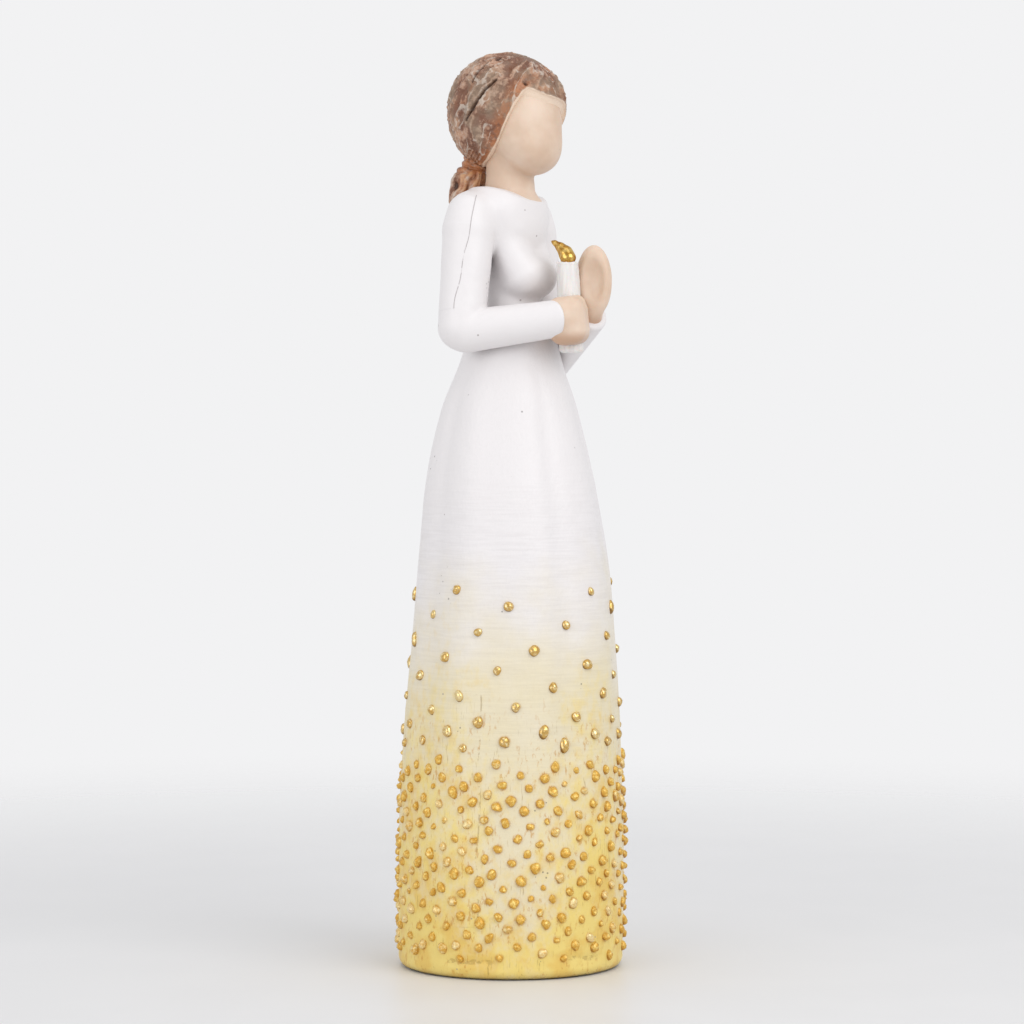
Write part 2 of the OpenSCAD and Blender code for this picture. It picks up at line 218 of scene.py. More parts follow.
def surface_net(values, low, step):
    """Closed quad mesh of where a grid of distances passes through zero."""
    inside = values < 0
    cells = np.array(values.shape) - 1
    count = np.zeros(cells, np.uint8)
    for i, j, k in itertools.product((0, 1), repeat=3):
        count += inside[i:i + cells[0], j:j + cells[1], k:k + cells[2]]
    mixed = (count > 0) & (count < 8)
    cell = np.argwhere(mixed)
    index = np.full(mixed.shape, -1, np.int64)
    index[mixed] = np.arange(len(cell))

    total, hits = np.zeros((len(cell), 3)), np.zeros(len(cell))
    for axis in range(3):
        along = np.eye(3, dtype=int)[axis]
        others = [k for k in range(3) if k != axis]
        for i, j in itertools.product((0, 1), repeat=2):
            start = np.zeros(3, int)
            start[others[0]], start[others[1]] = i, j
            a, b = values[tuple((cell + start).T)], values[tuple((cell + start + along).T)]
            crossed = (a < 0) != (b < 0)
            t = np.where(crossed, a / np.where(crossed, a - b, 1), 0)
            total += np.where(crossed[:, None], start + t[:, None] * along, 0)
            hits += crossed
    verts = np.asarray(low) + step * (cell + total / hits[:, None])

    quads = []
    for axis in range(3):
        u, v = (axis + 1) % 3, (axis + 2) % 3
        first = [slice(None)] * 3
        second = [slice(None)] * 3
        first[axis], second[axis] = slice(0, -1), slice(1, None)
        a, b = inside[tuple(first)], inside[tuple(second)]
        edge = np.argwhere(a != b)
        outward = a[tuple(edge.T)]
        inner = np.all([(edge[:, k] > 0) & (edge[:, k] < cells[k]) for k in (u, v)], axis=0)
        edge, outward = edge[inner], outward[inner]
        ring = []
        for du, dv in ((1, 1), (0, 1), (0, 0), (1, 0)):
            at = edge.copy()
            at[:, u] -= du
            at[:, v] -= dv
            ring.append(index[tuple(at.T)])
        ring = np.stack(ring, axis=1)
        quads.append(np.where(outward[:, None], ring, ring[:, ::-1]))
    return verts, np.concatenate(quads)


def relaxed(verts, quads, rounds, strength=0.5):
    """Mesh points moved part of the way to the mean of their neighbours."""
    a = np.concatenate([quads[:, k] for k in range(4)])
    b = np.concatenate([quads[:, (k + 1) % 4] for k in range(4)])
    count = np.bincount(a, minlength=len(verts))
    for _ in range(rounds):
        mean = [np.bincount(a, verts[b, k], len(verts)) / count for k in range(3)]
        verts = verts + strength * (np.stack(mean, axis=1) - verts)
    return verts


def outward_ways(verts, quads):
    """Unit normal at each mesh point."""
    face = np.cross(verts[quads[:, 2]] - verts[quads[:, 0]], verts[quads[:, 3]] - verts[quads[:, 1]])
    total = np.zeros((len(verts), 3))
    for corner, k in itertools.product(range(4), range(3)):
        total[:, k] += np.bincount(quads[:, corner], face[:, k], len(verts))
    return total / np.maximum(np.linalg.norm(total, axis=1, keepdims=True), 1e-12)


def make_piece(name, verts, faces, material, nodes, masks=None):
    """Writes a mesh, gives it its look and its body, and hides the CAD nodes that it stands for."""
    mesh = bpy.data.meshes.new(name)
    mesh.from_pydata((np.asarray(verts) * MM).tolist(), [], faces)
    mesh.update()
    mesh.shade_smooth()
    for mask, values in (masks or {}).items():
        layer = mesh.attributes.new(mask, "FLOAT", "POINT")
        layer.data.foreach_set("value", np.asarray(values, np.float32))
    mesh.materials.append(material)
    piece = bpy.data.objects.new(name, mesh)
    bpy.context.scene.collection.objects.link(piece)
    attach(piece, BODY)
    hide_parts(*nodes)
    return piece


def cast(field, corners, step):
    """Mesh of a distance field between two corners: points, faces and normals."""
    low, high = corners
    verts, quads = surface_net(field(lattice(low, high, step)), low, step)
    verts = relaxed(verts, quads, rounds=2)
    return verts, quads.tolist(), outward_ways(verts, quads)


def raised(verts, ways, rise):
    """Points moved outward by a rise for each."""
    return verts + ways * rise[:, None]


# ---------------- looks

class Look:
    """One procedural material. Lengths in its patterns are millimetres on the object."""

    def __init__(self, name, **sockets):
        self.material = bpy.data.materials.new(name)
        self.material.use_nodes = True
        self.tree = self.material.node_tree
        self.shader = self.tree.nodes["Principled BSDF"]
        self.place = self.node("ShaderNodeTexCoord").outputs["Object"]
        for socket, value in sockets.items():
            self.shader.inputs[socket.replace("_", " ")].default_value = value

    def node(self, kind, inputs=(), **settings):
        made = self.tree.nodes.new(kind)
        for key, value in settings.items():
            setattr(made, key, value)
        for key, value in dict(inputs).items():
            self.feed(made.inputs[key], value)
        return made

    def feed(self, socket, value):
        if isinstance(value, bpy.types.NodeSocket):
            self.tree.links.new(value, socket)
        elif socket.type == "RGBA":
            socket.default_value = (*value, 1)
        else:
            socket.default_value = value

    def math(self, operation, a, b=0.0):
        return self.node("ShaderNodeMath", {0: a, 1: b}, operation=operation).outputs[0]

    def plus(self, a, b):
        return self.math("ADD", a, b)

    def times(self, a, *others):
        for other in others:
            a = self.math("MULTIPLY", a, other)
        return a

    def less(self, value):
        """1 minus a value."""
        return self.math("SUBTRACT", 1.0, value)

    def mix(self, share, a, b, blend="MIX"):
        inputs = {0: share, 6: a, 7: b}
        return self.node("ShaderNodeMix", inputs, data_type="RGBA", blend_type=blend).outputs[2]

    def base(self, share, a, b):
        """The first coat, between two paints."""
        self.colour = self.mix(share, a, b)

    def coat(self, share, paint, blend="MIX"):
        """Another coat over what is there."""
        self.colour = self.mix(share, self.colour, paint, blend)

    def step(self, value, low, high, to_low=0.0, to_high=1.0):
        inputs = {"Value": value, "From Min": low, "From Max": high, "To Min": to_low, "To Max": to_high}
        kind = "SMOOTHSTEP" if (to_low, to_high) == (0.0, 1.0) else "LINEAR"
        return self.node("ShaderNodeMapRange", inputs, interpolation_type=kind).outputs["Result"]

    def cells(self, size, shift=0.0):
        """Coordinates in cells of this size, one number or one for each axis."""
        size = np.broadcast_to(np.asarray(size, float), 3)
        scaled = self.node(
            "ShaderNodeVectorMath",
            {0: self.place, 1: tuple(1 / (MM * size)), 2: (shift, shift, shift)},
            operation="MULTIPLY_ADD",
        )
        return scaled.outputs[0]

    def noise(self, size, detail=3.0, rough=0.55, shift=0.0, bend=0.0):
        inputs = {
            "Vector": self.cells(size, shift), "Scale": 1.0,
            "Detail": detail, "Roughness": rough, "Distortion": bend,
        }
        return self.node("ShaderNodeTexNoise", inputs).outputs[0]

    def specks(self, size, radius, shift=0.0):
        """1 inside round specks of this radius, one speck to a cell."""
        inputs = {"Vector": self.cells(size, shift), "Scale": 1.0, "Randomness": 1.0}
        gap = self.node("ShaderNodeTexVoronoi", inputs).outputs["Distance"]
        return self.step(gap, radius, radius * 0.6)

    def height(self):
        """Height above the table in millimetres."""
        z = self.node("ShaderNodeSeparateXYZ", {0: self.place}).outputs[2]
        return self.times(z, 1 / MM)

    def mask(self, name):
        return self.node("ShaderNodeAttribute", attribute_name=name).outputs["Fac"]

    def hollow(self, reach=0.8):
        """1 in creases narrower than about reach, 0 in the open."""
        inputs = {"Distance": reach * MM}
        open_share = self.node("ShaderNodeAmbientOcclusion", inputs, samples=4).outputs["AO"]
        return self.less(open_share)

    def ridge_highlight(self):
        """Above 0.5 on raised edges, below 0.5 in creases. Used for painted highlights on raised edges.
        """
        return self.node("ShaderNodeNewGeometry").outputs["Pointiness"]

    def finish(self, rough, *bumps):
        """Bumps are pairs of (pattern from 0 to 1, height of the bump in millimetres)."""
        normal = None
        for pattern, rise in bumps:
            inputs = {"Height": pattern, "Distance": rise * MM, "Strength": 1.0}
            if normal is not None:
                inputs["Normal"] = normal
            normal = self.node("ShaderNodeBump", inputs).outputs[0]
        self.feed(self.shader.inputs["Base Color"], self.colour)
        self.feed(self.shader.inputs["Roughness"], rough)
        if normal is not None:
            self.feed(self.shader.inputs["Normal"], normal)
        return self.material


def srgb(red, green, blue):
    """Linear colour of a paint given as 0 to 255."""
    shares = (v / 255 for v in (red, green, blue))
    return tuple(v / 12.92 if v <= 0.04045 else ((v + 0.055) / 1.055) ** 2.4 for v in shares)


DRESS_WHITE = srgb(231, 227, 227)
DRESS_CREAM = srgb(228, 216, 184)
DRESS_YELLOW = srgb(236, 211, 124)
DRESS_AMBER = srgb(230, 196, 104)
DRESS_GREY = srgb(150, 140, 138)
GRIME = srgb(84, 76, 70)
OCHRE = srgb(196, 138, 44)
OLIVE = srgb(156, 124, 56)
DOT_GOLD = srgb(212, 162, 62)
DOT_LIGHT = srgb(242, 212, 124)
# Colour of the painted shade on the lower side of the hem dots
DOT_SHADE = srgb(166, 110, 36)
FLAME_GOLD = srgb(178, 130, 52)
FLAME_LIGHT = srgb(232, 196, 116)
STUD_GOLD = srgb(208, 168, 94)
STUD_LIGHT = srgb(252, 234, 186)
# Colour of the painted shade on the lower side of the loose dots
STUD_SHADE = srgb(124, 84, 36)
DOT_WORN = srgb(238, 218, 164)
SKIN = srgb(213, 185, 161)
SKIN_PALE = srgb(226, 203, 183)
SKIN_DEEP = srgb(190, 152, 124)
RIM_CREAM = srgb(239, 216, 194)
HAIR_BROWN = srgb(122, 80, 58)
HAIR_TAN = srgb(180, 142, 118)
HAIR_COPPER = srgb(176, 104, 52)
HAIR_GOLD = srgb(214, 158, 92)
HAIR_DARK = srgb(70, 42, 28)
HAIR_GREY = srgb(204, 190, 176)
HAIR_MUD = srgb(150, 136, 116)
CANDLE_WHITE = srgb(232, 229, 226)
CANDLE_SHADE = srgb(205, 199, 194)
FELT_DARK = srgb(48, 54, 46)
FELT_LIGHT = srgb(88, 96, 82)
STEEL_DARK = srgb(150, 152, 154)
STEEL_LIGHT = srgb(190, 191, 192)
WICK_DARK = srgb(120, 100, 78)
WICK_LIGHT = srgb(196, 180, 152)


def dress_look(name, dotted):
    look = Look(name, Specular_IOR_Level=0.45)
    z = look.height()
    cloud = look.noise(16, 4, shift=3)
    drift = look.times(look.math("SUBTRACT", cloud, 0.5), 46)
    level = look.plus(z, drift)
    look.base(look.step(level, 100, 58), DRESS_WHITE, DRESS_CREAM)
    strokes = look.noise((9, 9, 0.55), 3, 0.6, shift=8, bend=0.4)
    mottle = look.noise(2.4, 4, shift=12)
    rough = look.step(mottle, 0.3, 0.7, 0.36, 0.5)
    bumps = [(strokes, 0.012), (look.noise(1.1, 3, shift=21), 0.02), (mottle, 0.06)]
    if dotted:
        dabs = look.noise((2.2, 2.2, 3.2), 5, 0.6, shift=37)
        low = look.plus(level, look.times(look.mask("pale"), 40))
        low = look.plus(low, look.step(dabs, 0.35, 0.65, 14, -14))
        wash = look.mix(look.step(look.noise(8, 3, shift=75), 0.46, 0.62), DRESS_YELLOW, DRESS_AMBER)
        look.coat(look.step(low, 80, 18), wash)
        band = look.step(z, 70, 52)
        smears = look.noise((0.9, 0.9, 2.2), 5, 0.65, shift=31)
        patches = look.noise(6, 3, shift=44)
        flecks = look.times(look.step(smears, 0.54, 0.64), look.step(patches, 0.46, 0.6), band, 0.6)
        look.coat(flecks, OCHRE)
        runs = look.noise((0.42, 0.42, 5.5), 3, 0.6, shift=57)
        runs = look.times(look.step(runs, 0.6, 0.68), look.step(patches, 0.52, 0.4), band, 0.5)
        look.coat(runs, OLIVE)
        ring = look.times(look.step(look.mask("dot_gap"), 0.5, 0.0), band)
        ring = look.times(ring, look.step(smears, 0.42, 0.6, 0.15, 0.7))
        look.coat(ring, OCHRE)
        line = look.step(look.math("ABSOLUTE", look.mask("crease")), 0.28, 0.05)
        line = look.times(line, look.step(look.noise(1.3, 3, shift=63), 0.46, 0.6))
        look.coat(look.times(line, 0.4), OLIVE)
        bumps += [(smears, 0.09), (dabs, 0.12), (look.less(line), 0.08)]
    brushed = look.times(look.step(z, 125, 95), look.step(z, 30, 60))
    stroke_share = look.times(look.step(strokes, 0.4, 0.7, 0.0, 0.09), brushed)
    look.coat(stroke_share, DRESS_GREY, "MULTIPLY")
    pits = look.specks(6.5, 0.045, shift=5)
    look.coat(look.times(pits, 0.7), DRESS_GREY)
    grimy = look.step(look.noise(9, 2, shift=66), 0.66, 0.7)
    grime = look.times(look.specks(1.4, 0.2, shift=15), grimy)
    shade = look.hollow(3.5)
    joint = look.step(look.plus(shade, look.noise(0.6, 3, shift=71)), 1.36, 1.46)
    look.coat(look.times(look.math("MAXIMUM", grime, joint), 0.6), GRIME)
    look.coat(look.step(shade, 0.4, 0.95, 0, 0.5), DRESS_GREY, "MULTIPLY")
    if not dotted:
        # Painted shade in the deep recesses of the dress top, such as under the bust and between the
        # arms and the body
        deep_shade = look.hollow(6.0)
        look.coat(look.step(deep_shade, 0.4, 0.95, 0, 0.5), DRESS_GREY, "MULTIPLY")
        seam = look.step(look.math("ABSOLUTE", look.mask("seam")), 0.16, 0.05)
        broken = look.step(look.noise(1.6, 3, shift=61), 0.36, 0.5)
        seam = look.times(seam, broken)
        look.coat(look.times(seam, 0.55), DRESS_GREY)
        bumps.append((look.less(seam), 0.06))
    return look.finish(rough, *bumps)


def skin_look(name):
    look = Look(name, Specular_IOR_Level=0.4, Subsurface_Weight=0.06, Subsurface_Scale=0.002)
    cloud = look.noise(9, 3, shift=2)
    look.base(look.step(cloud, 0.3, 0.7), SKIN, SKIN_PALE)
    # Painted shade under the chin and along the undersides of the hands
    look.coat(look.times(look.mask("under_shade"), 0.8), SKIN_DEEP)
    # Painted shade in the creases of the skin
    look.coat(look.step(look.hollow(1.6), 0.3, 0.95, 0, 0.35), SKIN_DEEP)
    pits = look.specks(5.0, 0.04, shift=9)
    look.coat(look.times(pits, 0.6), SKIN_DEEP)
    strokes = look.noise((1.2, 1.2, 4.0), 3, shift=14)
    rough = look.step(look.noise(2, 3, shift=18), 0.3, 0.7, 0.36, 0.48)
    return look.finish(rough, (strokes, 0.025), (look.noise(0.7, 2, shift=25), 0.01))


def hair_look(name):
    look = Look(name, Specular_IOR_Level=0.5)
    tone, pale, copper, rim, slit = (look.mask(m) for m in ("tone", "pale", "copper", "rim", "slit"))
    grain = look.noise(0.9, 4, 0.6, shift=7)
    cloud = look.noise(1.9, 4, 0.65, shift=19)
    drift = look.noise(7, 2, shift=23)
    level = look.plus(tone, look.step(grain, 0.3, 0.7, -0.28, 0.28))
    look.base(look.step(level, 0.25, 0.6), HAIR_BROWN, HAIR_TAN)
    look.coat(look.step(drift, 0.45, 0.62, 0.0, 0.5), HAIR_MUD)
    look.coat(look.step(level, 0.62, 0.95, 0.0, 0.75), HAIR_GREY)
    warm = look.times(copper, look.step(cloud, 0.36, 0.54))
    look.coat(look.times(warm, 0.75), HAIR_COPPER)
    glint = look.times(warm, 0.6, look.step(level, 0.6, 0.9))
    look.coat(glint, HAIR_GOLD)
    shown = look.step(look.plus(pale, look.step(cloud, 0.3, 0.7, -0.35, 0.35)), 0.35, 0.8)
    look.coat(look.times(shown, 0.7), HAIR_GREY)
    # Painted shade in the creases of the hair, and in its carved slits and pits
    look.coat(look.step(look.hollow(0.9), 0.3, 0.85, 0, 0.9), HAIR_DARK)
    look.coat(look.times(slit, 0.9), HAIR_DARK)
    look.coat(rim, RIM_CREAM)
    rough = look.step(grain, 0.3, 0.7, 0.28, 0.5)
    return look.finish(rough, (grain, 0.2), (look.noise(0.35, 3, shift=33), 0.03))


def flame_look(name):
    look = Look(name, Metallic=1.0)
    cloud = look.noise(1.3, 4, shift=4)
    look.base(look.step(cloud, 0.35, 0.65), FLAME_GOLD, FLAME_LIGHT)
    # Painted highlight along the flame's raised edges, and painted shade in its creases
    look.coat(look.step(look.ridge_highlight(), 0.5, 0.58), FLAME_LIGHT)
    look.coat(look.step(look.hollow(0.7), 0.35, 0.95, 0, 0.75), OCHRE)
    rough = look.step(look.noise(0.6, 3, shift=13), 0.3, 0.7, 0.12, 0.2)
    return look.finish(rough, (look.noise((0.6, 0.6, 2.4), 2, shift=28), 0.015))


def dot_look(name, paint, light, deep_shade, metallic, rough):
    """Gold dabs: on some the gold is nearly gone, with painted shade along their lower side."""
    look = Look(name, Metallic=metallic)
    tone, lower_side_shade = look.mask("tone"), look.mask("lower_side_shade")
    cloud = look.noise(0.8, 4, 0.65, shift=4)
    patchy = look.plus(look.times(cloud, 0.7), look.times(tone, 0.6))
    look.base(look.step(cloud, 0.44, 0.68), paint, light)
    look.coat(look.step(patchy, 0.78, 0.98, 0.0, 0.85), DOT_WORN)
    # Painted shade: each dab darker towards its lower side and foot
    low = look.plus(lower_side_shade, look.step(cloud, 0.3, 0.7, -0.7, 0.7))
    look.coat(look.times(look.step(low, 0.0, 0.8), 0.8), deep_shade)
    grain = look.noise(0.45, 3, shift=28)
    return look.finish(look.step(grain, 0.3, 0.7, rough, rough + 0.1), (grain, 0.25 * rough))


def candle_look(name):
    look = Look(name, Specular_IOR_Level=0.5, Subsurface_Weight=0.1, Subsurface_Scale=0.002)
    drips = look.noise((0.55, 0.55, 6.0), 3, shift=6)
    look.base(look.step(drips, 0.4, 0.7, 0, 0.35), CANDLE_WHITE, CANDLE_SHADE)
    grime = look.times(look.hollow(1.0), look.step(look.noise(0.8, 4), 0.5, 0.62))
    look.coat(look.times(grime, 0.6), DRESS_GREY)
    rough = look.step(look.noise(1.5, 3, shift=3), 0.3, 0.7, 0.34, 0.5)
    return look.finish(rough, (drips, 0.08), (look.noise(0.5, 3, shift=16), 0.03))


def felt_look(name):
    look = Look(name, Sheen_Weight=0.5, Sheen_Roughness=0.6)
    fibres = look.noise((0.5, 0.5, 0.5), 6, 0.75, shift=2, bend=1.5)
    look.base(look.step(fibres, 0.3, 0.7), FELT_DARK, FELT_LIGHT)
    rough = look.step(fibres, 0.2, 0.8, 0.85, 1.0)
    return look.finish(rough, (fibres, 0.25))


def steel_look(name):
    look = Look(name, Metallic=1.0)
    turned = look.noise((3, 3, 0.12), 2, shift=5)
    look.base(look.step(look.noise(1.2, 3), 0.3, 0.7), STEEL_DARK, STEEL_LIGHT)
    return look.finish(look.step(turned, 0.3, 0.7, 0.22, 0.42), (turned, 0.01))


def wick_look(name):
    look = Look(name)
    twist = look.noise((0.3, 0.3, 0.5), 3, bend=2.0)
    look.base(look.step(twist, 0.35, 0.65), WICK_DARK, WICK_LIGHT)
    return look.finish(look.step(twist, 0.2, 0.8, 0.8, 0.95), (twist, 0.1))


# ---------------- skirt

# Folds of the skirt: turn from +X in degrees, half width in degrees, height in millimetres
FOLDS = (
    (160, 9, -0.55), (-174, 12, 0.30), (-159.5, 8, -0.15), (-136, 16, 0.22), (-115.5, 8, -0.60),
    (-91, 11, 0.35), (-66, 9, -0.45), (-40, 14, 0.30), (-8, 10, -0.50), (22, 12, 0.30),
    (48, 9, -0.45), (78, 13, 0.35), (104, 8, -0.50), (132, 12, 0.30),
)
# Where the yellow wash is thin: turn from +X and half width in degrees
PALE_SIDES = ((-141, 27), (-52, 22), (30, 26), (112, 20))
HEM_FOLD_Z = 4.6
SKIRT_SIDES = 320
SKIRT_ROWS = 250
PAD_RECESS = box_mm("base_pad")[1]
CORE_R = (box_mm("bodice")[1][0] - box_mm("bodice")[0][0]) / 2


# Painted crease down the skirt: turn from +X in degrees, and heights in millimetres
CREASE_TURN = -162
CREASE_HEIGHTS = (12, 66)
# Distance at which a painted line no longer shows
NO_LINE = 5.0


def mesh_points(node):
    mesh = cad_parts[node].data
    points = np.empty(len(mesh.vertices) * 3, np.float32)
    mesh.vertices.foreach_get("co", points)
    return points.reshape(-1, 3).astype(float) / MM


def skirt_profile():
    """Rows of (height, radius, middle y), read from the rings of the CAD skirt."""
    points = np.unique(mesh_points("skirt").round(3), axis=0)
    outer = points[np.hypot(points[:, 0], points[:, 1]) > 0.8 * CORE_R]
    heights = np.unique(outer[:, 2].round(2))
    rows = []
    for height in heights[heights > 2.4]:
        ring = outer[np.abs(outer[:, 2] - height) < 0.02]
        middle = ring[:, 1].mean()
        rows.append((height, np.hypot(ring[:, 0], ring[:, 1] - middle).mean(), middle))
    return rows


PROFILE = skirt_profile()


def turn_gap(turn, at):
    """Degrees between turns, from -180 to 180."""
    return (turn - at + 180) % 360 - 180


def skirt_fold(turn, height):
    rise = sum(d * np.exp(-(turn_gap(turn, a) / w) ** 2) for a, w, d in FOLDS)
    return rise * ramp(height, 20, 62) * ramp(WAIST[2] - height, 6, 22) ** 0.5


def skirt_surface(turn, height):
    """Points on the skirt at these turns in degrees and heights."""
    radius, middle = curve_at(PROFILE, height)
    radius = radius + skirt_fold(turn, height)
    angle = np.radians(turn)
    x, y = radius * np.cos(angle), middle + radius * np.sin(angle)
    return np.stack(np.broadcast_arrays(x, y, height), -1)


def rings_mesh(rings):
    """Closed mesh through rings of points, upward, each anticlockwise from above."""
    count, sides = rings.shape[:2]
    index = np.arange(count * sides).reshape(count, sides)
    after = np.roll(index, -1, axis=1)
    quads = np.stack([index[:-1], after[:-1], after[1:], index[1:]], axis=-1).reshape(-1, 4)
    return rings.reshape(-1, 3), quads, [index[0, ::-1].tolist(), index[-1].tolist()]


def dot_middles(node):
    """Middle of each separate dot of a CAD node."""
    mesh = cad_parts[node].data
    points = mesh_points(node)
    edges = np.empty(len(mesh.edges) * 2, np.int32)
    mesh.edges.foreach_get("vertices", edges)
    _, same = np.unique(points.round(3), axis=0, return_inverse=True)
    a, b = same.reshape(-1)[edges.reshape(-1, 2)].T
    label = np.arange(same.max() + 1)
    while True:
        lowest = label.copy()
        np.minimum.at(lowest, a, label[b])
        np.minimum.at(lowest, b, label[a])
        lowest = lowest[lowest]
        if np.array_equal(lowest, label):
            break
        label = lowest
    own = label[same.reshape(-1)]
    order = np.argsort(own, kind="stable")
    starts = np.flatnonzero(np.diff(own[order], prepend=-1))
    low = np.minimum.reduceat(points[order], starts)
    high = np.maximum.reduceat(points[order], starts)
    return (low + high) / 2


def turn_and_height(points):
    _, middle = curve_at(PROFILE, points[:, 2])
    return np.degrees(np.arctan2(points[:, 1] - middle, points[:, 0])), points[:, 2]


def gap_to_dots(points, middles, radii):
    """Distance from each point to the edge of the nearest dot."""
    tree = kdtree.KDTree(len(middles))
    for k, middle in enumerate(middles):
        tree.insert(middle, k)
    tree.balance()
    far = 9.0
    gaps = np.full(len(points), far)
    for k in np.flatnonzero(points[:, 2] < middles[:, 2].max() + far):
        _, nearest, gap = tree.find(points[k])
        gaps[k] = gap - radii[nearest]
    return gaps


def hem_and_foot_rings(turn):
    """Rings from the middle of the underside, round the recess, out and round the hem."""
    radius, middle = curve_at(PROFILE, PROFILE[0][0])
    foot, edge = box_mm("skirt")[0][2], PROFILE[0][0]
    recess_r, recess_top = PAD_RECESS[0] + 0.15, PAD_RECESS[2] + 0.1
    rows = [(0.5, recess_top), (recess_r * 0.5, recess_top), (recess_r, recess_top), (recess_r, foot)]
    inset = 1.7
    rows += [
        (radius - inset * (1 - math.sin(a)), foot + (edge - foot) * (1 - math.cos(a)))
        for a in np.radians(np.arange(0, 90, 12))
    ]
    angle = np.radians(turn)
    rings = []
    for r, z in rows:
        wobble = 0.16 * noise(np.stack([r * np.cos(angle), r * np.sin(angle), 0 * angle + z], -1), 6, 3)
        wobble = wobble * (r > recess_r + 0.5)
        rings.append(np.stack([
            (r + wobble) * np.cos(angle),
            np.full_like(angle, middle) * (r > recess_r) + (r + wobble) * np.sin(angle),
            z + np.maximum(wobble, 0) * (z > foot),
        ], -1))
    return rings


def make_skirt(middles, radii):
    turn = np.linspace(0, 360, SKIRT_SIDES, endpoint=False)
    top = WAIST[2]
    heights = np.linspace(PROFILE[0][0], top, SKIRT_ROWS)
    side = skirt_surface(turn[None, :], heights[:, None])
    rings = hem_and_foot_rings(turn) + list(side)
    last = side[-1]
    for shrink, rise in ((0.97, 0.25), (0.5, 0.4)):
        inner = WAIST + (last - WAIST) * shrink
        inner[:, 2] = top + rise
        rings.append(inner)
    verts, quads, caps = rings_mesh(np.array(rings))
    ways = outward_ways(verts, quads)
    lumps = 0.13 * layered_noise(verts, (11, 11, 17), 2, 5) + 0.03 * layered_noise(verts, 2.2, 2, 9)
    shown = (verts[:, 2] > 0.6) & (verts[:, 2] < top)
    verts = raised(verts, ways, lumps * shown * ramp(verts[:, 2], 0.2, 3))
    fold_z = HEM_FOLD_Z + 0.7 * noise(verts * (1, 1, 0), 14, 97)
    hem_fold = np.exp(-((verts[:, 2] - fold_z) / 0.8) ** 2) * ramp(noise(verts, 10, 98), -0.4, 0.3)
    verts = raised(verts, ways, -0.35 * hem_fold)
    height = verts[:, 2]
    around, _ = turn_and_height(verts)
    pale = sum(np.exp(-(turn_gap(around, a) / w) ** 2) for a, w in PALE_SIDES)
    pale = np.clip(pale + 0.35 * layered_noise(verts, 9, 3, 13), 0, 1.2)
    pale = pale * (0.5 + 0.5 * ramp(height, 3, 14)) * (1 - 0.45 * ramp(height, 34, 46))
    crease_turn = CREASE_TURN + 1.6 * layered_noise(verts * (0, 0, 1), 12, 3, 95)
    crease = np.radians(turn_gap(around, crease_turn)) * np.hypot(verts[:, 0], verts[:, 1])
    crease = np.where((height > CREASE_HEIGHTS[0]) & (height < CREASE_HEIGHTS[1]), crease, NO_LINE)
    crease = np.where(hem_fold > 0.3, 0.3 - 0.3 * hem_fold, crease)
    masks = {"pale": pale, "dot_gap": gap_to_dots(verts, middles, radii), "crease": crease}
    faces = quads.tolist() + caps
    return make_piece("dress_skirt", verts, faces, dress_look("skirt_resin", True),
                      ["skirt"], masks)


# ---------------- gold dots

DOME_SIDES = 14
DOME_RISES = (-0.35, 0.0, 0.32, 0.66, 1.02, 1.34)


